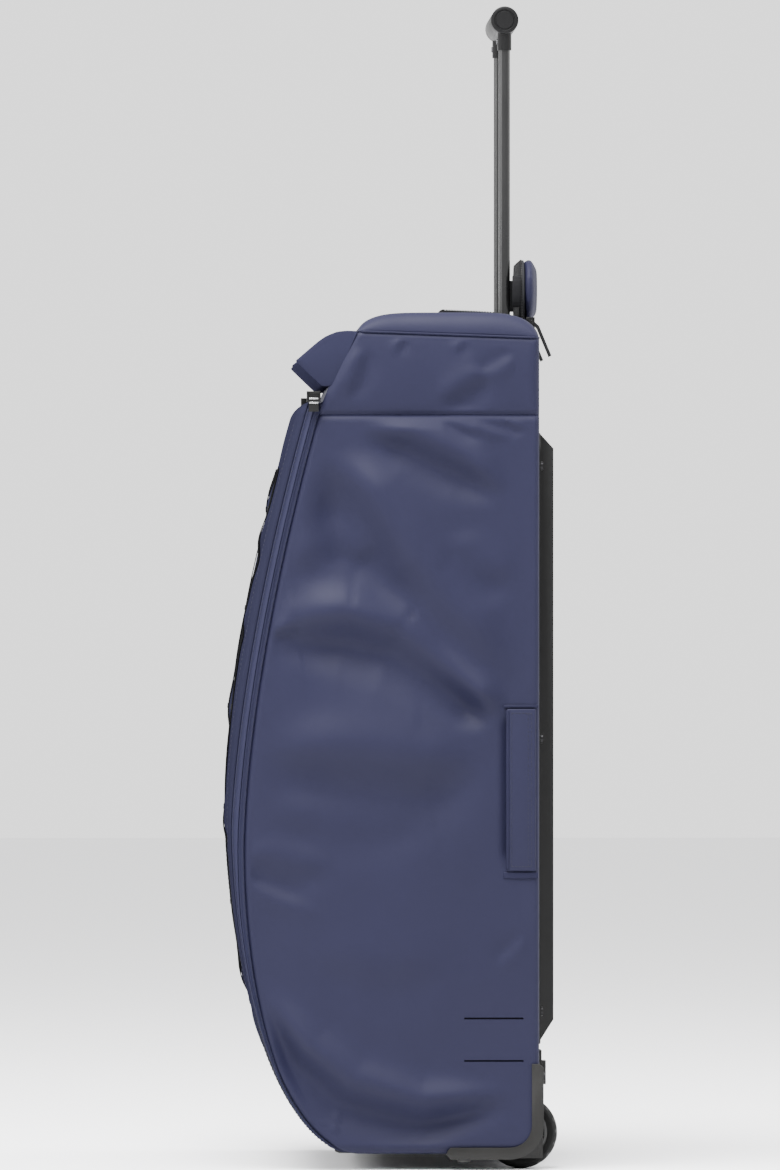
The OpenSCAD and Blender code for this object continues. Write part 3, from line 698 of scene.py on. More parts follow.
@dataclass
class Piece:
    """How one finished piece is made from its mesh.

    Attributes:
        name: The piece's name.
        finish: Its outer finish.
        slot: Name of a material slot; not used.
        body: The body it moves with.
        nodes: The solid parts it stands for.
        inner: Finish of the inner side, for a sheet with a thickness.
        thick: Thickness of a sheet, grown inwards.
        levels: Levels of smoothing subdivision.
        crease: Angle in degrees past which an edge stays sharp.
    """

    name: str
    finish: Finish
    slot: str
    body: str = "bag"
    nodes: tuple = ()
    inner: Optional[Finish] = None
    thick: float = 0.0
    levels: int = 0
    crease: float = 40.0

    def make(self, bm: Form) -> Thing:
        """Turns the mesh into a piece, dresses it and sets what it moves with.

        Args:
            bm: The mesh, which is freed.

        Returns:
            The new object.
        """
        mesh = mesh_of(self.name, bm)
        mesh.shade_smooth()
        mesh.set_sharp_from_angle(angle=math.radians(self.crease))
        made = placed(self.name, mesh)
        mesh.materials.append(self.finish.material())
        if self.thick:
            mesh.materials.append((self.inner or self.finish).material())
            wall = made.modifiers.new("wall", "SOLIDIFY")
            wall.thickness, wall.offset, wall.use_even_offset = self.thick, -1.0, False
            wall.material_offset, wall.material_offset_rim = 1, 0
        if self.levels:
            smoothing = made.modifiers.new("smoothing", "SUBSURF")
            smoothing.levels = smoothing.render_levels = self.levels
        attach(made, self.body)
        if self.nodes:
            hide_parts(*self.nodes)
        log.info("%s: %d faces on %s", self.name, len(mesh.polygons), self.body)
        return made


def rounded(name: str, finish: Finish, slot: str, node: str, radius: float, segments: int = 2,
            body: str = "bag") -> Thing:
    """Makes a piece that is a hard part with its corners rounded.

    Args:
        name: The piece's name.
        finish: Its finish.
        slot: Name of a material slot, handed on to the piece; not used.
        node: The part it stands for.
        radius: Radius of the rounded edges.
        segments: Faces across each rounded edge.
        body: The body it moves with.

    Returns:
        The new object.
    """
    return Piece(name, finish, slot, body=body, nodes=(node,)).make(softened(node, radius, segments))


# ---------------------------------------------------------------- the bag's outline


@dataclass(frozen=True)
class Outline:
    """The bag's outline from the side.

    Depths run forwards from the back panel and heights up from the floor.
    """

    back_y: float
    half_w: float
    base_z: float
    seam_z: float
    piping_z: float
    crown_z: float
    lid_low_z: float
    lid_top_z: float
    belly_d: float
    hood_d: float
    belly_z: float = 0.350
    side_seam_z: float = 0.300
    nose_a: float = 0.122
    lid_depth: float = 0.018
    lid_rim: float = 0.024
    top_d: float = 0.226
    tape_w: float = 0.006
    min_lid: float = 0.005
    hood_slope: float = 0.033
    corner: float = 0.012

    @classmethod
    def from_frame(cls) -> "Outline":
        """Reads the main sizes from the solid parts.

        Returns:
            The outline.
        """
        side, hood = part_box("side_panel_right"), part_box("hood_side_right")
        lid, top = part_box("front_lid"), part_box("hood_top")
        back = side[1].y
        return cls(back_y=back, half_w=side[1].x, base_z=side[0].z, seam_z=0.704, piping_z=hood[1].z,
                   crown_z=top[1].z, lid_low_z=lid[0].z, lid_top_z=lid[1].z, belly_d=back - lid[0].y,
                   hood_d=back - top[0].y)

    def at(self, x: float, d: float, z: float) -> Vector:
        """The point at a place across, a depth and a height."""
        return Vector((x, self.back_y - d, z))

    def _bulge(self, z: float, d_max: float, z_max: float, top_d: float, low_a: float) -> float:
        """An ellipse below the deepest point and a power curve above it.

        Args:
            z: Height.
            d_max: Depth at the deepest point.
            z_max: Height of the deepest point.
            top_d: Depth at the lid's top.
            low_a: How far the ellipse reaches in.

        Returns:
            The depth.
        """
        if z >= z_max:
            return d_max - (d_max - top_d) * ((z - z_max) / (self.lid_top_z - z_max)) ** 1.6
        t = (z_max - z) / (z_max - self.base_z)
        return d_max - low_a + low_a * math.sqrt(max(0.0, 1 - t * t))

    def front(self, z: float) -> float:
        """Depth of the lid's front at a height."""
        return self._bulge(z, self.belly_d, self.belly_z, self.top_d, self.nose_a)

    def edge(self, z: float) -> float:
        """Depth of the seam between the side panel and the zip tape.

        Args:
            z: Height.

        Returns:
            The depth.
        """
        side = self._bulge(z, self.belly_d - self.lid_depth, self.side_seam_z, self.top_d - self.lid_rim,
                           self.nose_a - 0.022)
        return min(side, self.front(z) - self.min_lid)

    def slit(self, z: float) -> float:
        """Depth of the line where the zip closes."""
        return self.edge(z) + min(self.tape_w, 0.45 * (self.front(z) - self.edge(z)))

    def rim(self, z: float) -> float:
        """Depth of the lid's sewn edge in front of the tape."""
        return self.edge(z) + min(2 * self.tape_w + 0.001, 0.72 * (self.front(z) - self.edge(z)))

    def hood(self, z: float) -> float:
        """Depth of the hood's sloping front at a height."""
        t = (self.piping_z - z) / (self.piping_z - self.lid_top_z)
        return self.hood_d + self.hood_slope * (t + 0.25 * t * (1 - t))

    def crown(self, d: float) -> float:
        """Height of the hood's top panel at a depth.

        Args:
            d: Depth.

        Returns:
            The height.
        """
        t = abs(2 * d / self.hood_d - 1)
        low = self.piping(d)
        return low + (self.crown_z - low) * max(0.0, 1 - t ** 5) ** 0.6

    def piping(self, d: float) -> float:
        """Height of the piped seam under the hood's top, which drops towards the back."""
        return self.piping_z - 0.0060 * (1 - min(1.0, d / self.hood_d))

    def low_back(self, z: float, radius: float = 0.030) -> float:
        """Depth of the back corner, which is rounded at the foot."""
        rise = self.base_z + radius - z
        return 0.0 if rise <= 0 else radius - math.sqrt(max(0.0, radius ** 2 - rise ** 2))


@dataclass(frozen=True)
class Arch:
    """The line of a zip that runs up, over and down, with rounded upper corners.

    Attributes:
        half: Half its width.
        low: Height of its feet.
        high: Height of its top.
        radius: Radius of its upper corners.
    """

    half: float
    low: float
    high: float
    radius: float

    @property
    def length(self) -> float:
        """Length of the line."""
        return 2 * (self.high - self.radius - self.low) + math.pi * self.radius + 2 * (self.half - self.radius)

    def at(self, share: float) -> tuple:
        """Follows the line from its left foot to its right foot.

        Args:
            share: Share of the way.

        Returns:
            The place across, the height and the outward way (x, z).
        """
        wall, bend = self.high - self.radius - self.low, QUARTER * self.radius
        run, side = share * self.length, -1
        if run > self.length / 2:
            run, side = self.length - run, 1
        if run <= wall:
            return side * self.half, self.low + run, side, 0.0
        if run <= wall + bend:
            a, r = (run - wall) / self.radius, self.radius
            return (side * (self.half - r + r * math.cos(a)), self.high - r + r * math.sin(a),
                    side * math.cos(a), math.sin(a))
        return side * (self.half - self.radius - (run - wall - bend)), self.high, 0.0, 1.0


@dataclass(frozen=True)
class Fold:
    """A soft crease: cloth stands out above its line and sinks below it.

    Attributes:
        path: Depth and height of points on the crease, in metres.
        rise: How far the cloth stands out, below zero to sink above the line.
        spread: Distance from the line to the highest cloth.
        fade_in: Share of the path over which the crease grows.
        fade_out: Share of the path over which it dies away.
    """

    path: tuple
    rise: float
    spread: float
    fade_in: float = 0.3
    fade_out: float = 0.3

    def lift(self, d: float, z: float) -> float:
        """How far the crease lifts the cloth at a depth and height.

        Args:
            d: Depth.
            z: Height.

        Returns:
            The lift in metres.
        """
        best, found = 1e9, None
        pieces = len(self.path) - 1
        for i in range(pieces):
            (d0, z0), (d1, z1) = self.path[i], self.path[i + 1]
            run, climb = d1 - d0, z1 - z0
            length = math.hypot(run, climb)
            t = ((d - d0) * run + (z - z0) * climb) / length ** 2
            held = min(1.0, max(0.0, t))
            off_d, off_z = d - d0 - held * run, z - z0 - held * climb
            away = math.hypot(off_d, off_z)
            if away < best:
                normal_d, normal_z = -climb / length, run / length
                if normal_z < 0:
                    normal_d, normal_z = -normal_d, -normal_z
                side = off_d * normal_d + off_z * normal_z
                best, found = away, ((i + held) / pieces, side)
        share, side = found
        width = self.spread * (0.45 + 0.55 * math.sin(math.pi * min(1.0, max(0.0, share))))
        if best > 4 * width:
            return 0.0
        fade = ease(share / self.fade_in if self.fade_in else 1.0) * ease(
            (1 - share) / self.fade_out if self.fade_out else 1.0)
        past = math.sqrt(max(0.0, best ** 2 - side ** 2)) / width
        q = side / width
        return self.rise * q * math.exp(0.5 - q * q / 2) * fade * math.exp(-past * past)


SIDE_FOLDS = (
    Fold(((0.264, 0.494), (0.225, 0.503), (0.180, 0.505), (0.135, 0.494), (0.088, 0.460), (0.038, 0.420)),
         0.0115, 0.020, 0.40, 0.10),
    Fold(((0.262, 0.498), (0.242, 0.502), (0.215, 0.505)), 0.0026, 0.005, 0.1, 0.5),
    Fold(((0.196, 0.668), (0.166, 0.622), (0.130, 0.560), (0.074, 0.497), (0.030, 0.446)),
         0.0110, 0.024, 0.25, 0.3),
    Fold(((0.168, 0.690), (0.120, 0.678), (0.072, 0.655), (0.030, 0.626)), 0.0062, 0.014),
    Fold(((0.262, 0.392), (0.190, 0.374), (0.110, 0.366), (0.050, 0.380)), 0.0074, 0.027),
    Fold(((0.276, 0.292), (0.236, 0.281), (0.190, 0.277)), 0.0022, 0.013, 0.2),
    Fold(((0.277, 0.272), (0.238, 0.256), (0.196, 0.238)), -0.0014, 0.0075, 0.15, 0.5),
    Fold(((0.042, 0.190), (0.028, 0.203), (0.012, 0.222)), -0.0011, 0.006),
    Fold(((0.262, 0.170), (0.222, 0.108), (0.180, 0.072), (0.112, 0.054), (0.020, 0.066)),
         0.0088, 0.016, 0.25, 0.2),
    Fold(((0.088, 0.699), (0.068, 0.690), (0.050, 0.680)), 0.0019, 0.005, 0.1, 0.5),
    Fold(((0.062, 0.700), (0.044, 0.692), (0.026, 0.683)), -0.0019, 0.005, 0.1, 0.5),
    Fold(((0.034, 0.700), (0.022, 0.693), (0.010, 0.689)), 0.0016, 0.004, 0.1, 0.5),
    Fold(((0.195, 0.640), (0.180, 0.590), (0.170, 0.560)), 0.0026, 0.015),
    Fold(((0.236, 0.560), (0.190, 0.575), (0.150, 0.570)), 0.0022, 0.018),
    Fold(((0.090, 0.590), (0.060, 0.560), (0.020, 0.545)), 0.0024, 0.016),
    Fold(((0.262, 0.330), (0.180, 0.318), (0.090, 0.322)), 0.0022, 0.018),
    Fold(((0.225, 0.200), (0.150, 0.180), (0.080, 0.190)), 0.0016, 0.020),
)
LID_FOLDS = (
    Fold(((-0.158, 0.655), (-0.090, 0.622), (-0.010, 0.606)), 0.0024, 0.015),
    Fold(((0.160, 0.612), (0.090, 0.583), (0.015, 0.575)), 0.0022, 0.014),
    Fold(((0.158, 0.520), (0.100, 0.505), (0.050, 0.508)), 0.0014, 0.010),
    Fold(((-0.160, 0.440), (-0.070, 0.414), (0.030, 0.420)), 0.0022, 0.017),
    Fold(((0.162, 0.345), (0.100, 0.312), (0.020, 0.304)), 0.0024, 0.015),
    Fold(((-0.160, 0.300), (-0.110, 0.286), (-0.065, 0.290)), 0.0013, 0.010),
    Fold(((-0.164, 0.200), (-0.090, 0.165), (0.000, 0.152)), 0.0026, 0.015),
    Fold(((0.165, 0.150), (0.100, 0.112), (0.020, 0.096)), 0.0026, 0.013),
)
HOOD_FOLDS = (
    Fold(((0.046, 0.742), (0.066, 0.729), (0.096, 0.712)), 0.0026, 0.010),
    Fold(((0.022, 0.762), (0.040, 0.750), (0.058, 0.742)), -0.0012, 0.006),
    Fold(((0.126, 0.774), (0.131, 0.766), (0.134, 0.756)), 0.0013, 0.004, 0.1, 0.6),
    Fold(((0.070, 0.773), (0.074, 0.765), (0.078, 0.757)), 0.0013, 0.004, 0.1, 0.6),
    Fold(((0.160, 0.768), (0.168, 0.744), (0.180, 0.716)), 0.0018, 0.008),
)


def crumple(d: float, z: float, seed: float, depth: float) -> float:
    """Gentle unevenness of hand-sewn cloth.

    Args:
        d: Depth or place across.
        z: Height or depth.
        seed: Which unevenness.
        depth: How strong it is.

    Returns:
        The lift in metres.
    """
    slow = noise.noise(Vector((d * 11, z * 7, seed)))
    quick = noise.noise(Vector((d * 34, z * 21, seed + 5)))
    return depth * (slow + 0.35 * quick)


def roll_in(s: float, width: float = 0.0042, depth: float = 0.0019) -> float:
    """How far cloth rolls in towards a seam at distance s from it."""
    return depth * (1 - ease(s / width)) if s < width else 0.0


# ---------------------------------------------------------------- cloth panels


@dataclass
class ClothBody:
    """The sewn panels that make the bag's main body and hood."""

    outline: Outline
    back_r: float = 0.005
    foot_r: float = 0.010
    cloth_t: float = 0.0024
    crown_t: float = 0.0020
    stitch_gap: float = 0.005
    side_belly: float = 0.0035
    side_turn: float = 0.07
    hood_turn: float = 0.09
    cover_gap: float = 0.003
    cover_depth: float = 0.060
    pocket: tuple = (0.022, 0.036, 0.284, 0.426)
    guard_x: float = 0.1357
    guard_z: float = 0.0993
    guard_d: float = 0.0863

    def sew(self, name: str, cloth: Form, node: str, finish: Finish = CLOTH,
            thick: Optional[float] = None) -> None:
        """Makes a lined piece from a panel's outer face.

        Args:
            name: The piece's name.
            cloth: The outer face, which is freed.
            node: The panel it stands for.
            finish: Its outer finish.
            thick: Its thickness, where that isn't the body's.
        """
        face_away(cloth)
        Piece(name, finish, "padded_fabric", nodes=(node,), inner=LINING,
              thick=thick or self.cloth_t).make(cloth)

    def side_point(self, side: int, u: float, w: float) -> Vector:
        """A point of the side panel.

        Args:
            side: 1 for the right side and -1 for the left.
            u: Share from the back corner to the zip.
            w: Share from the bottom to the hood's seam.

        Returns:
            The point.
        """
        o, turn = self.outline, self.side_turn
        if w < turn:
            rise, foot = turned(w / turn, self.foot_r)
            z = o.base_z + rise
        else:
            z = blend_to(o.base_z + self.foot_r, o.seam_z, spaced((w - turn) / (1 - turn), 0.3))
            foot = 0.0
        back = o.low_back(z)
        if u < turn:
            run, curl = turned(u / turn, self.back_r)
            d = back + run
        else:
            d = blend_to(back + self.back_r, o.edge(z), spaced((u - turn) / (1 - turn), 0.45))
            curl = 0.0
        return self.side_at(side, d, z, max(foot, curl))

    def side_at(self, side: int, d: float, z: float, curl: float = 0.0, lift: float = 0.0) -> Vector:
        """A point of the side panel at a depth and height, with its folds.

        Args:
            side: 1 for the right side and -1 for the left.
            d: Depth.
            z: Height.
            curl: How far a rounded corner sets it in.
            lift: Distance above the cloth.

        Returns:
            The point.
        """
        o = self.outline
        ahead, above = o.edge(z) - d, o.seam_z - z
        border = ease(min(ahead, above, d, z - o.base_z) / 0.014)
        seed = 3.0 if side > 0 else 21.0
        shift = 0.0 if side > 0 else 0.022 * math.sin(9 * z)
        folds = sum(f.lift(d, z + shift) for f in SIDE_FOLDS) + crumple(d, z, seed, 0.0013)
        calm = 1 - 0.85 * ease((0.034 - d) / 0.02) * ease((z - 0.26) / 0.02) * ease((0.45 - z) / 0.02)
        belly = self.side_belly * (ease((d - 0.03) / 0.10) * ease(ahead / 0.09) * ease(above / 0.2) *
                                   ease((z - 0.04) / 0.2))
        slot = self.pocket
        dent = 0.0035 * ease(1 - abs(d - (slot[0] + slot[1]) / 2) / 0.010) * ease(
            (z - slot[2]) / 0.012) * ease((slot[3] - z) / 0.012)
        inset = curl + roll_in(ahead) + roll_in(above, 0.0046, 0.0024)
        x = o.half_w - inset + (folds * calm + belly) * border - dent + lift
        return o.at(side * x, d, z)

    def hood_side_at(self, side: int, d: float, z: float, curl: float) -> Vector:
        """A point of the hood's side.

        Args:
            side: 1 for the right side and -1 for the left.
            d: Depth.
            z: Height.
            curl: How far a rounded corner sets it in.

        Returns:
            The point.
        """
        o = self.outline
        ahead, below, above = o.hood(z) - d, z - o.seam_z, o.piping(d) - z
        border = ease(min(ahead, above, below, d) / 0.010)
        folds = sum(f.lift(d, z) for f in HOOD_FOLDS) + crumple(d, z, 9.0 * side, 0.0009)
        puff = 0.0022 * math.sin(math.pi * min(1.0, max(0.0, below / (below + above))))
        inset = (curl + roll_in(below, 0.0046, 0.0024) + roll_in(above, 0.004, 0.0016) +
                 roll_in(ahead, 0.005, 0.0016))
        return o.at(side * (o.half_w - inset + (folds + puff) * border), d, z)

    def sides(self, side: int, word: str) -> None:
        """The side panel and the hood's side above it.

        Args:
            side: 1 for the right side and -1 for the left.
            word: The side's name.
        """
        o = self.outline
        self.sew(f"side_cloth_{word}", sheet_of(88, 196, lambda u, w: self.side_point(side, u, w)),
                 f"side_panel_{word}")

        def hood(u: float, w: float) -> Vector:
            """A point of the hood's side sheet.

            Args:
                u: Share across the sheet.
                w: Share along the sheet.

            Returns:
                The point.
            """
            turn = self.hood_turn
            if u < turn:
                d, curl = turned(u / turn, self.back_r)
                z = blend_to(o.seam_z, o.piping(d), spaced(w, 0.5))
            else:
                share = spaced((u - turn) / (1 - turn), 0.45)
                z = blend_to(o.seam_z, o.piping(self.back_r + share * 0.16), spaced(w, 0.5))
                d, curl = blend_to(self.back_r, o.hood(z), share), 0.0
            return self.hood_side_at(side, d, z, curl)

        self.sew(f"hood_cloth_{word}", sheet_of(64, 34, hood), f"hood_side_{word}")

    def back(self) -> None:
        """The back panel, cut out around the wheels and stitched round the hard shell."""
        o = self.outline
        reach = o.half_w - self.back_r

        def place(u: float, w: float) -> Vector:
            """A point of the back panel.

            Args:
                u: Share across the sheet.
                w: Share along the sheet.

            Returns:
                The point.
            """
            x, z = blend_to(-reach, reach, u), blend_to(o.base_z, o.piping(0.0), w)
            return o.at(x, 0.0006 + crumple(x, z, 40.0, 0.0003), z)

        cloth = sheet_of(60, 110, place)
        cut_away(cloth, (None, None, None), (-self.guard_x, None, self.guard_z))
        cut_away(cloth, (self.guard_x, None, None), (None, None, self.guard_z))
        self.sew("back_cloth", cloth, "back_panel")
        low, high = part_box("back_shell")
        y, gap = o.back_y - 0.0003, self.stitch_gap
        corners = [Vector((x, y, z)) for x, z in (
            (low.x - gap, low.z - gap), (high.x + gap, low.z - gap), (high.x + gap, high.z + gap),
            (low.x - gap, high.z + gap))]
        steps = []
        for start, end in zip(corners, corners[1:] + corners[:1]):
            steps += straight(start, end, Vector((0, 1, 0)), (end - start).length, PANEL_STITCH)
        Piece("back_stitches", THREAD, "padded_fabric").make(stitches(steps))

    def bottom(self) -> None:
        """The bottom panel, which turns up into the nose."""
        o = self.outline
        nose_z = o.lid_low_z - 0.001

        def place(u: float, w: float) -> Vector:
            """A point of the bottom panel.

            Args:
                u: Share across the sheet.
                w: Share along the sheet.

            Returns:
                The point.
            """
            bend = 0.85
            rise = 0.0 if w < bend else (w - bend) / (1 - bend) * (nose_z - o.base_z) / self.foot_r
            reach = o.half_w - self.foot_r * (1 - math.sqrt(1 - (1 - min(1.0, rise)) ** 2)) - 0.0003
            x = blend_to(-reach, reach, u)
            if w < bend:
                d = blend_to(0.003, o.front(o.base_z) + 0.001, w / bend)
                z = o.base_z + 0.0012 * ease((d - 0.09) / 0.08)
            else:
                z = blend_to(o.base_z + 0.0012, nose_z, (w - bend) / (1 - bend))
                d = o.front(z)
            return o.at(x, d, z + crumple(x, d, 60.0, 0.0003))

        cloth = sheet_of(60, 60, place)
        front_y = o.back_y - self.guard_d
        cut_away(cloth, (self.guard_x, front_y, None), (None, None, None))
        cut_away(cloth, (None, front_y, None), (-self.guard_x, None, None))
        self.sew("bottom_cloth", cloth, "bottom_panel", SEWN)

    def wheel_covers(self) -> None:
        """Lining stretched over each wheel's housing inside the bag."""
        o = self.outline
        covers = bmesh.new()
        for side, _ in SIDES:
            xs = sorted((side * (self.guard_x - self.cover_gap), side * (o.half_w - 0.0035)))
            low = Vector((xs[0], o.back_y - self.cover_depth, o.base_z + 0.004))
            high = Vector((xs[1], o.back_y - 0.004, self.guard_z + self.cover_gap))
            rounded_block(covers, low, high, 0.010, 4)
        spare = [f for f in covers.faces if f.normal.z < -0.6 or f.normal.y > 0.6 or
                 f.normal.x * f.calc_center_median().x > 0.6 * abs(f.calc_center_median().x)]
        bmesh.ops.delete(covers, geom=spare, context="FACES")
        Piece("wheel_covers", LINING, "lining", thick=0.0012).make(covers)

    def hood_front(self) -> None:
        """The hood's sloping front under the visor."""
        o = self.outline

        def place(u: float, w: float) -> Vector:
            """A point of the hood's front.

            Args:
                u: Share across the sheet.
                w: Share along the sheet.

            Returns:
                The point.
            """
            reach = o.half_w - 0.0015
            z = blend_to(o.lid_top_z + 0.0004, o.piping_z, w)
            x = blend_to(-reach, reach, spaced(u, 0.5))
            ends = roll_in(reach - abs(x), 0.006, 0.002)
            return o.at(x, o.hood(z) - ends + crumple(x, z, 70.0, 0.0006), z)

        self.sew("hood_front_cloth", sheet_of(70, 16, place), "hood_front")

    def crown(self) -> None:
        """The hood's crowned top, open over the handle's recess."""
        o = self.outline
        shoulder, turn, corner = 0.016, 0.12, self.back_r + 0.001
        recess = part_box("garage_tray")

        def place(u: float, w: float) -> Vector:
            """A point of the crown.

            Args:
                u: Share across the sheet.
                w: Share along the sheet.

            Returns:
                The point.
            """
            d = o.hood_d * spaced(w, 0.75)
            low, high = o.piping(d), max(o.piping(d), o.crown(d))
            side, share = (-1, u) if u < 0.5 else (1, 1 - u)
            if share < turn:
                angle = share / turn * QUARTER
                z = blend_to(low, high, math.sin(angle))
                x = o.half_w - 0.0012 * math.cos(angle) - shoulder * (1 - math.cos(angle))
            else:
                x = blend_to(o.half_w - shoulder, 0.0, (share - turn) / (0.5 - turn))
                z = high
            left = max(0.0, corner - d)
            x *= 1 - (corner - math.sqrt(corner ** 2 - left ** 2)) / o.half_w
            sag = crumple(x, d, 80.0, 0.0006) * ease((high - low) / 0.008)
            return o.at(side * x, d, z + sag)

        cloth = sheet_of(110, 56, place)
        cut_away(cloth, (recess[0].x, recess[0].y, None), (recess[1].x, recess[1].y, None))
        self.sew("crown_cloth", cloth, "hood_top", thick=self.crown_t)

    def piping(self) -> None:
        """A thin piped cord round the hood's top seam."""
        o, r = self.outline, 0.0011

        def ring(share: float) -> Vector:
            """A point on the loop round the hood.

            Args:
                share: Share of the way round.

            Returns:
                The point.
            """
            corner = self.back_r + 0.001
            x, d0, d1 = o.half_w - 0.0006, 0.0004, o.hood_d - 0.0004
            spans = (2 * (x - corner), d1 - d0 - 2 * corner)
            arc = QUARTER * corner
            s = (share % 1.0) * 2 * (spans[0] + spans[1] + 2 * arc)
            for step in range(4):
                span = spans[step % 2]
                if s < span or step == 3 and s <= span:
                    t, mid = s - span / 2, (d0 + d1) / 2
                    across, d = ((t, d1), (x, mid - t), (-t, d0), (-x, mid + t))[step]
                    return o.at(across, d, o.piping(d))
                s -= span
                if s < arc:
                    a = s / corner
                    cx, cd = ((x - corner, d1 - corner), (x - corner, d0 + corner),
                              (-x + corner, d0 + corner), (-x + corner, d1 - corner))[step]
                    turn = QUARTER - a - step * QUARTER
                    d = cd + corner * math.sin(turn)
                    return o.at(cx + corner * math.cos(turn), d, o.piping(d))
                s -= arc
            return o.at(-spans[0] / 2, d1, o.piping(d1))

        def place(u: float, w: float) -> Vector:
            """A point on the cord's surface.

            Args:
                u: Share across the sheet.
                w: Share along the sheet.

            Returns:
                The point.
            """
            here, ahead = ring(w), ring(w + 0.001)
            along = (ahead - here).normalized()
            side = along.cross(UP).normalized()
            a = 2 * math.pi * u
            return here + (side * math.cos(a) + UP * math.sin(a)) * r

        cord = sheet_of(8, 360, place)
        bmesh.ops.remove_doubles(cord, verts=cord.verts, dist=MERGE)
        bmesh.ops.recalc_face_normals(cord, faces=cord.faces)
        Piece("hood_piping", SEWN, "padded_fabric").make(cord)

    def visor(self) -> None:
        """The folded flap along the hood's upper front edge."""
        o = self.outline
        reach = o.half_w - 0.0012
        brow = ((o.hood_d + 0.0012, 0.7822), (0.1790, 0.7826), (0.1883, 0.7817), (0.1950, 0.7792),
                (0.2000, 0.7767), (0.2068, 0.7718), (0.2134, 0.7662), (0.2200, 0.7606), (0.2256, 0.7558),
                (0.2268, 0.7545), (0.2262, 0.7532), (0.2200, 0.7472), (0.2140, 0.7414), (0.2080, 0.7357),
                (0.2032, 0.7312), (0.2005, 0.7306), (0.1935, 0.7310), (0.1885, 0.7345))

        def place(u: float, w: float) -> Vector:
            """A point of the visor.

            Args:
                u: Share across the sheet.
                w: Share along the sheet.

            Returns:
                The point.
            """
            spot = u * (len(brow) - 1)
            i = min(int(spot), len(brow) - 2)
            d = blend_to(brow[i][0], brow[i + 1][0], spot - i)
            z = blend_to(brow[i][1], brow[i + 1][1], spot - i)
            x = blend_to(-reach, reach, spaced(w, 0.8))
            away = max(0.0, d - o.hood(min(z, o.piping_z)))
            inner = ease((reach - abs(x)) / 0.05)
            wave = -0.0016 * (1 + math.sin(x * 21 + 0.6)) * ease(away / 0.02) * inner
            top = ease((z - 0.7545) / 0.003)
            puff = 0.0010 * math.sin(math.pi * min(1.0, u * 1.6)) * inner * top
            return o.at(x, d + wave, z + puff + 0.0012 * (1 - top) * inner)

        cloth = sheet_of(48, 84, place)
        for side, _ in SIDES:
            ends = [v for v in cloth.verts if side * v.co.x > reach - 1e-4 and v.is_boundary]
            rim = [e for e in cloth.edges if e.is_boundary and all(v in ends for v in e.verts)]
            first = max(ends, key=lambda v: v.co.z + v.co.y)
            last = min(ends, key=lambda v: v.co.z - v.co.y)
            if not cloth.edges.get((first, last)):
                rim.append(cloth.edges.new((first, last)))
            made = bmesh.ops.contextual_create(cloth, geom=rim)
            bmesh.ops.inset_region(cloth, faces=made["faces"], thickness=0.0022, depth=0.0008)
        bmesh.ops.holes_fill(cloth, edges=[e for e in cloth.edges if e.is_boundary], sides=0)
        bmesh.ops.recalc_face_normals(cloth, faces=cloth.faces)
        bmesh.ops.triangulate(cloth, faces=[f for f in cloth.faces if len(f.verts) > 4])
        # The visor's colour carries a painted sheen in place of reflections.
        made = Piece("visor_cloth", VISOR_CLOTH_PAINTED_SHEEN, "padded_fabric", nodes=("visor",), crease=50).make(cloth)

    def print_lines(self) -> None:
        """Two plain printed rules low on the right side."""
        ink = bmesh.new()
        for height in (0.1416, 0.1020):
            strip = sheet_of(24, 1, lambda u, w, h=height: self.side_at(
                1, blend_to(0.015, 0.070, u), h + 0.0014 * (w - 0.5), lift=0.00025))
            join(ink, strip)
        face_away(ink)
        Piece("print_rules", INK, "padded_fabric", thick=0.0003).make(ink)

    def build(self) -> None:
        """Builds every panel."""
        for side, word in SIDES:
            self.sides(side, word)
        self.back()
        self.bottom()
        self.wheel_covers()
        self.hood_front()
        self.crown()
        self.piping()
        self.visor()
        self.print_lines()


# ---------------------------------------------------------------- zip and lid


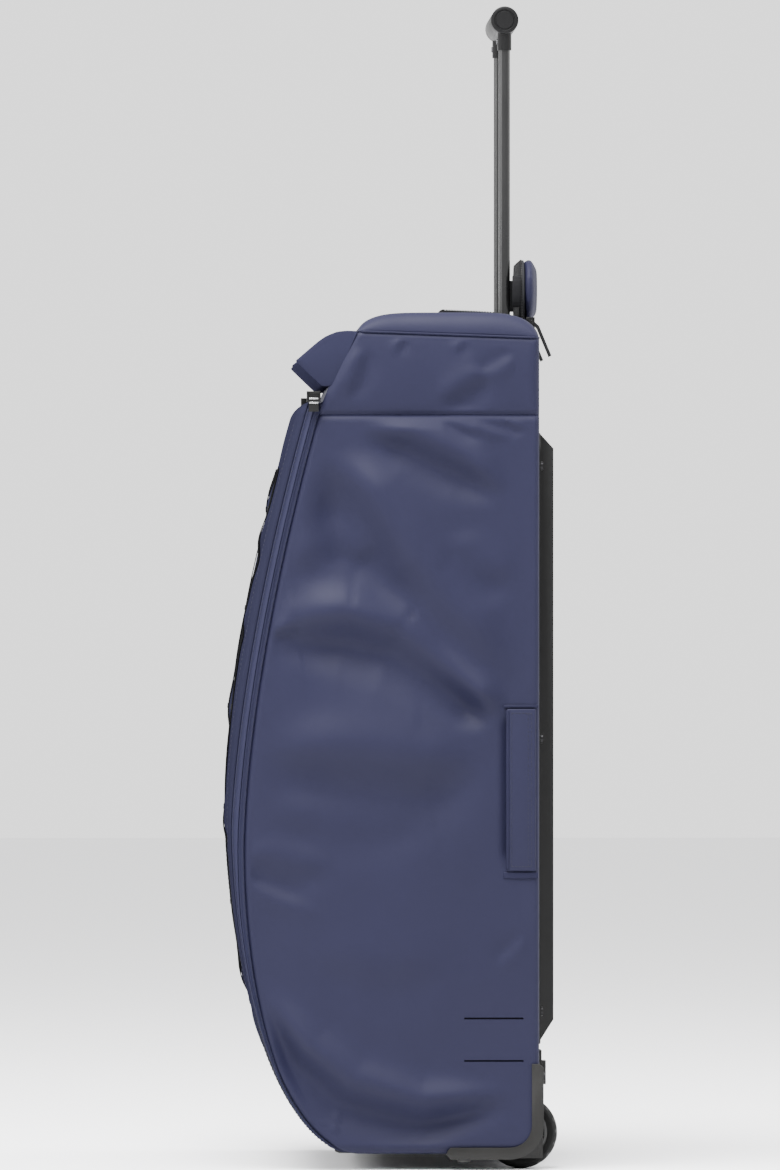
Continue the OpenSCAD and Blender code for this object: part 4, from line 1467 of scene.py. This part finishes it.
@dataclass
class MainZip:
    """The zip that runs up one side, across the top and down the other side."""

    outline: Outline
    tape_t: float = 0.0011
    tooth_gap: float = 0.00035

    @property
    def arch(self) -> Arch:
        """The zip's line, seen from the front."""
        o = self.outline
        return Arch(o.half_w, o.lid_low_z, o.lid_top_z, o.corner)

    def tape(self, name: str, body: str, node: str, inner: Callable, outer: Callable, ridge_at: float) -> None:
        """One half of the tape.

        Args:
            name: The piece's name.
            body: The body it moves with.
            node: The solid part it stands for.
            inner: Depth of its rear edge at a height.
            outer: Depth of its front edge at a height.
            ridge_at: Share across the tape where the zip's ridge stands.
        """
        o = self.outline

        def place(u: float, w: float) -> Vector:
            """A point of the tape.

            Args:
                u: Share across the sheet.
                w: Share along the sheet.

            Returns:
                The point.
            """
            x, z, out_x, out_z = self.arch.at(w)
            d = blend_to(inner(z), outer(z), u)
            ridge = 0.0016 * ease(1 - abs(u - ridge_at) / 0.55)
            sewn = 0.0013 * ease(1 - abs(u - (1 - ridge_at)) / 0.2)
            off = ridge - sewn - 0.0006
            return o.at(x + out_x * off, d, z + out_z * off)

        cloth = sheet_of(10, 460, place)
        face_away(cloth, Vector((0, o.back_y - 0.2, 0.4)))
        Piece(name, TAPE, "zip_tape", body=body, nodes=(node,), thick=self.tape_t).make(cloth)

    def line(self, depth: Callable[[float], float], off: float) -> Callable[[float], Vector]:
        """A line along the zip at a depth and a height above the tape.

        Args:
            depth: Depth at a height.
            off: Height above the tape.

        Returns:
            The line, from a share to a point.
        """
        def point(share: float) -> Vector:
            """A point of the line."""
            x, z, out_x, out_z = self.arch.at(share)
            return self.outline.at(x + out_x * off, depth(z), z + out_z * off)
        return point

    def outward(self, point: Vector) -> Vector:
        """The way out of the zip at a point.

        Args:
            point: The point.

        Returns:
            The way out.
        """
        o = self.outline
        bend_z, bend_x = o.lid_top_z - o.corner, o.half_w - o.corner
        if point.z > bend_z:
            core = Vector((max(-bend_x, min(bend_x, point.x)), point.y, bend_z))
            return (point - core).normalized()
        return Vector((math.copysign(1.0, point.x), 0, 0))

    def build(self) -> None:
        """Builds both tapes, the teeth and the rows of stitches."""
        o, gap, length = self.outline, self.tooth_gap, self.arch.length
        self.tape("zip_tape_body_cloth", "bag", "zip_tape_body", o.edge, lambda z: o.slit(z) - gap, 1.0)
        self.tape("zip_tape_lid_cloth", "front_lid", "zip_tape_lid", lambda z: o.slit(z) + gap, o.rim, 0.0)
        halves = (("body", "bag", -1, lambda z: o.edge(z) + 0.0014),
                  ("lid", "front_lid", 1, lambda z: o.rim(z) - 0.0014))
        for word, body, side, _ in halves:
            path = self.line(lambda z, s=side: o.slit(z) + s * 0.0012, -0.0012)
            row = teeth(walk(path, self.outward, length, TOOTH_PITCH), (0.0016, 0.0022, 0.0016))
            Piece(f"zip_teeth_{word}", TEETH, "zip_plastic", body=body).make(row)
        for word, body, _, depth in halves:
            thread = stitches(walk(self.line(depth, -0.0003), self.outward, length, TAPE_STITCH))
            Piece(f"tape_stitches_{word}", THREAD, "zip_tape", body=body).make(thread)


@dataclass
class FrontLid:
    """The padded lid with its gusset seam and two webbing ladders."""

    outline: Outline
    side_r: float = 0.030
    top_r: float = 0.013
    lid_t: float = 0.0045
    side_turn: float = 0.28
    side_rise: float = 0.80
    seam_share: float = 0.16
    seam_depth: float = 0.0020
    sink: float = 0.0018
    stitch_share: float = 0.185
    stitch_run: float = 0.66
    strap_x: float = 0.062
    strap_w: float = 0.025
    strap_low: float = 0.150
    tack_pitch: float = 0.0935

    def half_width(self, z: float) -> float:
        """Half the lid's width, which closes in round its top corners.

        Args:
            z: Height.

        Returns:
            Half the width.
        """
        o = self.outline
        over = z - (o.lid_top_z - o.corner)
        return o.half_w if over <= 0 else o.half_w - o.corner + math.sqrt(max(0.0, o.corner ** 2 - over ** 2))

    def surface(self, x_share: float, z: float) -> Vector:
        """A point of the lid's outer face.

        Args:
            x_share: Place across, from -1 at the left edge to 1 at the right edge.
            z: Height.

        Returns:
            The point.
        """
        o = self.outline
        wide = self.half_width(z)
        over = max(0.0, z - (o.lid_top_z - self.top_r)) / self.top_r
        full = math.sqrt(max(0.0, 1 - min(1.0, over) ** 2))
        rim, front = o.rim(z), o.front(z)
        turn, rise = self.side_turn, self.side_rise
        side, share = math.copysign(1.0, x_share), 1 - abs(x_share)
        if share < turn:
            angle = share / turn * QUARTER
            x = wide - self.side_r * (1 - math.cos(angle))
            crown = rise * math.sin(angle)
        else:
            inward = (share - turn) / (1 - turn)
            x = blend_to(wide - self.side_r, 0.0, inward)
            crown = rise + (1 - rise) * math.sin(inward ** 0.8 * QUARTER)
        seam = self.seam_depth * ease(1 - abs(share - self.seam_share) / 0.014) * ease((z - 0.03) / 0.05)
        join = roll_in(share * 0.05, 0.004, 0.0012)
        depth = (front - rim) * crown * full
        calm = ease((share - 0.20) / 0.12) * ease((z - 0.05) / 0.05) * ease((o.lid_top_z - 0.03 - z) / 0.04)
        folds = sum(f.lift(side * x, z) for f in LID_FOLDS)
        soft = (crumple(side * x, z, 50.0, 0.0014) + folds - self.sink) * calm
        return o.at(side * (x - join - seam * math.cos(share / turn * QUARTER) * (share < turn)),
                    rim + depth + soft - seam * crown * 0.8, z)

    def over(self, x: float, z: float) -> Vector:
        """The point of the lid's face at a place across and a height, away from its sides."""
        inward = 1 - abs(x) / (self.half_width(z) - self.side_r)
        return self.surface(math.copysign((1 - self.side_turn) * (1 - inward), x), z)

    def shell(self) -> None:
        """The lid's padded cloth."""
        o = self.outline
        bend = o.lid_top_z - self.top_r

        def place(u: float, w: float) -> Vector:
            """A point of the lid.

            Args:
                u: Share across the sheet.
                w: Share along the sheet.

            Returns:
                The point.
            """
            turn = 0.93
            if w < turn:
                z = blend_to(o.lid_low_z, bend, (w / turn) ** 1.15)
            else:
                z = bend + self.top_r * math.sin((w - turn) / (1 - turn) * QUARTER)
            return self.surface(2 * u - 1, z)

        cloth = sheet_of(120, 190, place)
        face_away(cloth, Vector((0, o.back_y - 0.15, 0.38)))
        # The lid's colour carries a painted sheen in place of reflections.
        made = Piece("lid_padding", LID_CLOTH_PAINTED_SHEEN, "padded_fabric", body="front_lid", nodes=("front_lid",),
                     inner=LINING, thick=self.lid_t).make(cloth)

    def seam_threads(self) -> None:
        """Topstitching beside the gusset seam."""
        low, high, across = 0.06, self.outline.lid_top_z - 0.02, 1 - self.stitch_share
        steps = []
        for side, _ in SIDES:
            steps += walk(lambda t, s=side: self.surface(s * across, blend_to(low, high, t)),
                          lambda p, s=side: Vector((s * 0.8, -0.6, 0)), self.stitch_run, PANEL_STITCH)
        Piece("lid_stitches", THREAD, "padded_fabric", body="front_lid").make(stitches(steps))

    def ladder(self) -> None:
        """Two webbing ladders, tacked down so that loops stand between the tacks."""
        top = self.outline.lid_top_z - 0.060
        straps, tacks = bmesh.new(), []
        for side, _ in SIDES:
            def place(u: float, w: float, s: int = side) -> Vector:
                """A point of the strap.

                Args:
                    u: Share across the sheet.
                    w: Share along the sheet.
                    s: The strap's side.

                Returns:
                    The point.
                """
                z = blend_to(self.strap_low, top, w)
                x = s * (self.strap_x + self.strap_w * (u - 0.5))
                phase = (z - self.strap_low) / self.tack_pitch
                loop = 0.0004 * abs(math.sin(math.pi * phase)) ** 0.7
                return self.over(x, z) - Vector((0, 0.0010 + loop, 0))

            strap = sheet_of(8, 220, place, (self.strap_w, top - self.strap_low))
            face_away(strap)
            join(straps, strap)
            for i in range(int((top - self.strap_low) / self.tack_pitch) + 1):
                z = self.strap_low + i * self.tack_pitch + (0.003 if i == 0 else 0.0)
                for row, j in product((-0.5, 0.5), range(13)):
                    x = side * self.strap_x + self.strap_w * (j / 12 - 0.5) * 0.92
                    tacks.append(Step(self.over(x, z + row * 0.0022) - Vector((0, 0.0012, 0)),
                                      Vector((0.35, 0, 1)), Vector((0, -1, 0))))
        Piece("front_ladders", WEBBING, "webbing", body="front_lid", nodes=("front_webbing",),
              thick=0.0009).make(straps)
        Piece("bar_tacks", BLACK_THREAD, "webbing", body="front_lid").make(stitches(tacks, 0.0034, 0.0005))

    def build(self) -> None:
        """Builds the lid."""
        self.shell()
        self.seam_threads()
        self.ladder()


@dataclass
class ZipHardware:
    """The sliders and pulls of the main zip and of the handle's recess."""

    bar_heights: tuple = (0.0075, 0.0115)
    bar_t: float = 0.0016
    bar_inset: float = 0.0022

    def build(self) -> None:
        """Builds sliders, pulls and their bright bars, which stand in for the highlights on the glossy pulls: a
        painted highlight.
        """
        rounded("zip_slider_bodies", ZIP_METAL, "zip_metal", "zip_sliders", 0.0006, body="front_lid")
        for side, word in SIDES:
            pull = f"zip_pull_{word}"
            rounded(f"zip_pull_tab_{word}", ZIP_METAL, "zip_metal", pull, 0.0004, body=pull)
            low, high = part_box(pull)
            face = high.x if side > 0 else low.x
            inner, outer = sorted((face - side * 0.0002, face + side * 0.0009))
            # Two bright metal bars on the pull's outer face: a painted highlight, put where the glossy pull
            # only catches light.
            bars = bmesh.new()
            for height in self.bar_heights:
                z = low.z + height
                rounded_block(bars, Vector((inner, low.y + self.bar_inset, z)),
                              Vector((outer, high.y - self.bar_inset, z + self.bar_t)), 0.0004, 2)
            Piece(f"pull_highlight_bars_{word}", PULL_HIGHLIGHT_METAL, "zip_metal", body=pull).make(bars)
            pull = f"garage_pull_{word}"
            rounded(f"garage_pull_tab_{word}", TEETH, "zip_plastic", pull, 0.0005, body=pull)
        rounded("garage_slider_bodies", ZIP_METAL, "zip_metal", "garage_sliders", 0.0005)


# ---------------------------------------------------------------- handles, recess and flap


@dataclass
class SideHandles:
    """The flat grab handles on both sides."""

    rear_rows: tuple = (0.0040, 0.0070)
    front_row: float = 0.0046
    end_row: float = 0.004
    row_end: float = 0.003

    def stitch_rows(self, side: int, low: Vector, high: Vector) -> list:
        """The stitches along and across one handle.

        Args:
            side: 1 for the right side and -1 for the left.
            low: The strap's lowest corner.
            high: The strap's highest corner.

        Returns:
            The middle of each stitch.
        """
        face, out, steps = high.x if side > 0 else low.x, Vector((side, 0, 0)), []
        for y in (*(high.y - row for row in self.rear_rows), low.y + self.front_row):
            steps += straight(Vector((face, y, low.z + self.row_end)), Vector((face, y, high.z - self.row_end)),
                              out, high.z - low.z, STRAP_STITCH)
        for z in (low.z + self.end_row, high.z - self.end_row):
            steps += straight(Vector((face, low.y + self.end_row, z)), Vector((face, high.y - self.end_row, z)),
                              out, high.y - low.y, STRAP_STITCH)
        return steps

    def build(self) -> None:
        """Builds each handle with its edge binding, stitches and sewn bands."""
        for side, word in SIDES:
            body = f"side_handle_{word}"
            low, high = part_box(f"grab_handle_{word}")
            strap, edge = bmesh.new(), bmesh.new()
            rounded_block(strap, low + Vector((0.0002 if side > 0 else 0, 0, 0)), high, 0.0013, 4)
            made = Piece(f"{body}_strap", CLOTH, "strap", body=body, nodes=(f"grab_handle_{word}",)).make(strap)
            face = high.x if side > 0 else low.x
            inner, outer = sorted((face - side * 0.0026, face + side * 0.0006))
            rounded_block(edge, Vector((inner, low.y - 0.0006, low.z + 0.001)),
                          Vector((outer, low.y + 0.0026, high.z - 0.001)), 0.0010, 3)
            Piece(f"{body}_binding", SEWN, "strap", body=body).make(edge)
            thread = stitches(self.stitch_rows(side, low, high), 0.0028, 0.00032)
            Piece(f"{body}_stitches", THREAD, "strap", body=body).make(thread)
        rounded("handle_bands", SEWN, "strap", "grab_tabs", 0.0006)


@dataclass
class HandleGarage:
    """The recess for the lowered grip, its zip band and its flap."""

    outline: Outline

    def lip(self) -> None:
        """The zip band round the recess, with its teeth."""
        o = self.outline
        rounded("recess_band", LINING, "garage_trim", "garage_lip", 0.0005)
        low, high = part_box("garage_lip")
        inset = 0.0022
        inner_x, d0, d1 = high.x - inset, o.back_y - high.y + inset, o.back_y - low.y - inset
        start = d0 + 0.012

        def spot(x: float, d: float) -> Vector:
            """A point on the band's top."""
            return o.at(x, d, o.crown(d) + 0.0011 + 0.0032 * (d - d0) / (d1 - d0))

        steps = []
        for side, _ in SIDES:
            steps += walk(lambda t, s=side: spot(s * inner_x, blend_to(start, d1, t)), lambda p: UP, d1 - start,
                          TOOTH_PITCH)
        steps += straight(spot(-inner_x, d1), spot(inner_x, d1), UP, 2 * inner_x, TOOTH_PITCH)
        Piece("recess_teeth", TEETH, "zip_plastic").make(teeth(steps, (0.0012, 0.0020, 0.0016)))

    def flap(self) -> None:
        """The padded flap that stands open behind the handle."""
        cover = plumped(softened("flap_cover", 0.0038, 5), 0.003, 0.0045)
        made = Piece("flap_cloth", CLOTH, "padded_fabric", body="garage_flap", nodes=("flap_cover",), levels=1,
                     crease=80).make(cover)
        rounded("flap_band", BAND, "garage_trim", "flap_zip", 0.0006, body="garage_flap")
        rounded("flap_lining_cloth", LINING, "lining", "flap_lining", 0.0008, body="garage_flap")
        low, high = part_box("flap_zip")
        band = Arch(high.x - 0.0005, low.z, high.z, 0.027)

        def edge(share: float) -> Vector:
            """A point on the flap's arched edge."""
            x, z, _, _ = band.at(share)
            return Vector((x, low.y - 0.0002, z))

        steps = walk(edge, lambda p: Vector((p.x, 0, p.z - low.z - 0.02)), band.length, TOOTH_PITCH)
        row = teeth(steps, (0.0016, 0.0016, 0.0016))
        Piece("flap_teeth", TEETH, "zip_plastic", body="garage_flap").make(row)

    def build(self) -> None:
        """Builds the recess."""
        self.lip()
        self.flap()
        rounded("recess_lining", LINING, "lining", "garage_tray", 0.0)


# ---------------------------------------------------------------- hard parts


@dataclass
class Wheels:
    """Wheels, their guards and their axles."""

    steps: int = 144
    groove_every: int = 8
    groove: float = 0.0011

    def tyre(self, word: str) -> None:
        """A tyre turned from its profile, with tread grooves.

        Args:
            word: The wheel's side.
        """
        low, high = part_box(f"tyre_{word}")
        hub_low, hub_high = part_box(f"wheel_hub_{word}")
        centre = (low + high) / 2
        r, w = (high.z - low.z) / 2, (high.x - low.x) / 2
        inner = (hub_high.z - hub_low.z) / 2
        half = ((inner - 0.0004, 0.0), (inner - 0.0004, w - 0.0012), (inner + 0.001, w - 0.0006),
                (r - 0.0045, w), (r - 0.0025, w - 0.0010), (r - 0.0010, w - 0.0032), (r - 0.0002, w - 0.0062),
                (r, w - 0.0085), (r, 0.0))
        bm = bmesh.new()
        lathe(bm, centre, [*half, *((a, -b) for a, b in reversed(half) if b > 0)], self.steps, True)
        for vert in bm.verts:
            away = Vector((0, vert.co.y - centre.y, vert.co.z - centre.z))
            turn = round((math.atan2(away.z, away.y) / (2 * math.pi)) * self.steps) % self.groove_every
            if away.length > r - 0.002 and abs(vert.co.x - centre.x) > 0.001 and turn in (0, 1):
                vert.co -= away.normalized() * self.groove
        bmesh.ops.recalc_face_normals(bm, faces=bm.faces)
        Piece(f"wheel_{word}_tyre", TYRE, "tyre", body=f"wheel_{word}", nodes=(f"tyre_{word}",),
              crease=32).make(bm)

    def build(self) -> None:
        """Builds wheels and guards."""
        for _, word in SIDES:
            self.tyre(word)
            rounded(f"wheel_{word}_hub", HUB, "hub_plastic", f"wheel_hub_{word}", 0.0006, body=f"wheel_{word}")
            rounded(f"corner_{word}_guard", GUARD, "guard_plastic", f"corner_guard_{word}", 0.0016, 3)
        rounded("guard_stud_pads", STUD, "stud_rubber", "guard_studs", 0.0008, 3)
        rounded("axle_rods", BLACK_STEEL, "bearing_steel", "axles", 0.0005)


@dataclass
class Screws:
    """Button-head screws with sunken drives."""

    outline: Outline
    corners: int = 24

    def heads(self, name: str, node: str, radius: float, height: float, face_y: float) -> None:
        """The visible heads of one node's screws.

        Args:
            name: The piece's name.
            node: The solid screws.
            radius: Radius of a head.
            height: Height of a head.
            face_y: Where the heads' undersides lie.
        """
        found = {(round(vert.co.x, 4), round(vert.co.z, 4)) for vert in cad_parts[node].data.vertices}
        centres = []
        for x, z in sorted(found):
            near = [c for c in centres if math.hypot(c[0] - x, c[1] - z) < radius * 2.6]
            if near:
                near[0][2].append((x, z))
            else:
                centres.append((x, z, [(x, z)]))
        bm = bmesh.new()
        for _, _, spots in centres:
            xs, zs = [s[0] for s in spots], [s[1] for s in spots]
            centre = Vector(((min(xs) + max(xs)) / 2, face_y, (min(zs) + max(zs)) / 2))
            self._head(bm, centre, radius, height)
        Piece(name, BLACK_STEEL, "fastener_steel").make(bm)

    def _head(self, bm: Form, centre: Vector, radius: float, height: float) -> None:
        """Adds one tapered head with its middle sunk.

        Args:
            bm: The mesh it is added to.
            centre: The middle of its underside.
            radius: Its radius.
            height: Its height.
        """
        turn = Matrix.Translation(centre + Vector((0, height / 2, 0))) @ Matrix.Rotation(-QUARTER, 4, "X")
        made = bmesh.ops.create_cone(bm, cap_ends=True, segments=self.corners, radius1=radius,
                                     radius2=radius * 0.8, depth=height, matrix=turn)
        tops = [f for f in {f for v in made["verts"] for f in v.link_faces}
                if len(f.verts) == self.corners and f.calc_center_median().y > centre.y + height * 0.9]
        for top in tops:
            bmesh.ops.inset_region(bm, faces=[top], thickness=radius * 0.32)
            for face in bmesh.ops.extrude_discrete_faces(bm, faces=[top])["faces"]:
                bmesh.ops.translate(bm, verts=face.verts, vec=Vector((0, -height * 0.7, 0)))

    def build(self) -> None:
        """Adds heads on the shell's and the guards' screws."""
        shell_y, guard_y = self.outline.back_y + 0.003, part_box("guard_screws")[1].y - 0.0021
        self.heads("shell_screw_heads", "shell_screws", 0.0043, 0.0023, shell_y)
        self.heads("guard_screw_heads", "guard_screws", 0.0040, 0.0022, guard_y)


@dataclass
class HardParts:
    """The moulded back, the trolley handle and the hidden structure."""

    button_travel: float = 0.0042
    plain: tuple = (
        (BLACK_PLASTIC, "hard_shell", ("base_board", "base_bracket")),
        (ALUMINIUM, "outer_aluminium", ("outer_tube_left", "outer_tube_right")),
        (BLACK_PLASTIC, "handle_plastic", ("tube_collars",)),
        (CAP, "button_plastic", ("lock_blocks", "release_button")),
        (STEEL, "bearing_steel", ("lock_pin_left", "lock_pin_right", "bearings_left", "bearings_right",
                                  "axle_spacers")),
        (STEEL, "fastener_steel", ("grip_screws",)),
        (BLACK_STEEL, "fastener_steel", ("shell_screws", "guard_screws")),
        (TUBE, "tube_black", ("inner_tube_left", "inner_tube_right")))

    def dress_nodes(self) -> None:
        """Gives the parts whose shape is right their finish."""
        for finish, slot, nodes in self.plain:
            for part in (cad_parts[node] for node in nodes):
                part.data.materials.clear()
                part.data.materials.append(finish.material())
                part.data.shade_smooth()
                part.data.set_sharp_from_angle(angle=math.radians(35))

    def build(self) -> None:
        """Builds the rounded hard parts."""
        rounded("moulded_back", SHELL, "hard_shell", "back_shell", 0.0026, 4)
        rounded("skid_bar", BLACK_PLASTIC, "hard_shell", "front_skid", 0.0005)
        rounded("trolley_sleeve", LINING, "lining", "trolley_cover", 0.0006)
        rounded("grip_upper_shell", GRIP, "handle_plastic", "grip_upper", 0.0003, body="trolley")
        rounded("grip_lower_shell", GRIP, "handle_plastic", "grip_lower", 0.0004, body="trolley")
        self.caps()
        self.springs()
        self.dress_nodes()

    def springs(self) -> None:
        """The two coil springs under the button's rods, each with a mesh of its own; they do not shorten here
        as the button goes down.
        """
        coils = rounded("button_springs", STEEL, "bearing_steel", "rod_springs", 0.0, body="trolley")
        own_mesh(coils)

    def caps(self) -> None:
        """The grip's flat end caps, each with a ring set into its face."""
        low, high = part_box("grip_caps")
        middle, r = (low + high) / 2, (high.z - low.z) / 2
        profile = ((0.0, 0.0), (r * 0.62, 0.0), (r * 0.66, -0.0006), (r * 0.72, -0.0006), (r * 0.76, 0.0),
                   (r - 0.0009, 0.0), (r - 0.0003, -0.0003), (r, -0.0010), (r, -0.0025), (0.0, -0.0025))
        bm = bmesh.new()
        for side, _ in SIDES:
            face = Vector((high.x if side > 0 else low.x, middle.y, middle.z))
            lathe(bm, face, [(a, side * b) for a, b in profile], 64, False)
        bmesh.ops.recalc_face_normals(bm, faces=bm.faces)
        Piece("grip_end_caps", CAP, "cap_plastic", body="trolley", nodes=("grip_caps",)).make(bm)


# ---------------------------------------------------------------- studio


@dataclass
class Studio:
    """The floor, the light and the camera."""

    outline: Outline
    distance: float = 11.0
    azimuth: float = 88.8
    frame_h: float = 1.0935
    eye_z: float = 0.5455
    eye_d: float = 0.1393
    sensor: float = 36.0
    zoom: float = 1.003
    lamp_side: float = 2.2
    room: float = 1.8
    floor_side: float = 14.0
    middle: tuple = (0.0, 0.0, 0.5)
    lamps: tuple = (("top_light", (1.5, -0.6, 3.5), 640.0), ("front_light", (0.7, -3.4, 2.0), 150.0),
                    ("rear_light", (-0.6, 3.1, 2.4), 150.0))

    def camera(self) -> None:
        """A long lens level with the bag's middle, almost square to its right side."""
        a = math.radians(self.azimuth)
        back = Vector((math.sin(a), -math.cos(a), 0.0))
        reach = self.distance - self.outline.half_w
        data = bpy.data.cameras.new("long_lens")
        data.sensor_width = self.sensor
        data.lens = self.zoom * self.sensor * reach / self.frame_h
        data.clip_start, data.clip_end = 0.1, 60.0
        eye = placed("long_lens", data)
        eye.location = self.outline.at(self.outline.half_w, self.eye_d, self.eye_z) + back * reach
        eye.rotation_euler = (-back).to_track_quat("-Z", "Y").to_euler()
        bpy.context.scene.camera = eye

    def lamp(self, name: str, place: Vector, power: float) -> None:
        """Adds a large soft lamp that faces the bag.

        Args:
            name: The lamp's name.
            place: Where it stands.
            power: Its power in watts.
        """
        data = bpy.data.lights.new(name, "AREA")
        data.shape, data.size, data.size_y, data.energy = "RECTANGLE", self.lamp_side, self.lamp_side, power
        lamp = placed(name, data)
        lamp.location = place
        lamp.rotation_euler = (Vector(self.middle) - place).to_track_quat("-Z", "Y").to_euler()

    def floor(self) -> None:
        """The pale floor."""
        bm = bmesh.new()
        bmesh.ops.create_grid(bm, x_segments=1, y_segments=1, size=self.floor_side)
        mesh = mesh_of("floor", bm)
        placed("floor", mesh)
        pale = bpy.data.materials.new("pale_floor")
        pale.use_nodes = True
        shader = pale.node_tree.nodes["Principled BSDF"]
        shader.inputs["Base Color"].default_value = (0.86, 0.86, 0.87, 1.0)
        shader.inputs["Roughness"].default_value = 0.8
        mesh.materials.append(pale)

    def build(self) -> None:
        """Sets the pale floor, the soft light and the camera."""
        self.floor()
        world = bpy.data.worlds.new("soft_room")
        world.use_nodes = True
        sky = world.node_tree.nodes["Background"]
        sky.inputs["Color"].default_value = (1.0, 1.0, 1.0, 1.0)
        sky.inputs["Strength"].default_value = self.room
        bpy.context.scene.world = world
        for name, place, power in self.lamps:
            self.lamp(name, Vector(place), power)
        self.camera()


def main() -> None:
    """Builds the bag piece by piece."""
    logging.basicConfig(level=logging.INFO, format="%(message)s")
    outline = Outline.from_frame()
    for part in (ClothBody(outline), MainZip(outline), FrontLid(outline), ZipHardware(), SideHandles(),
                 HandleGarage(outline), Wheels(), Screws(outline), HardParts(), Studio(outline)):
        part.build()
        log.info("%s built", type(part).__name__)
    bpy.context.view_layer.update()


if __name__ == "__main__":
    main()
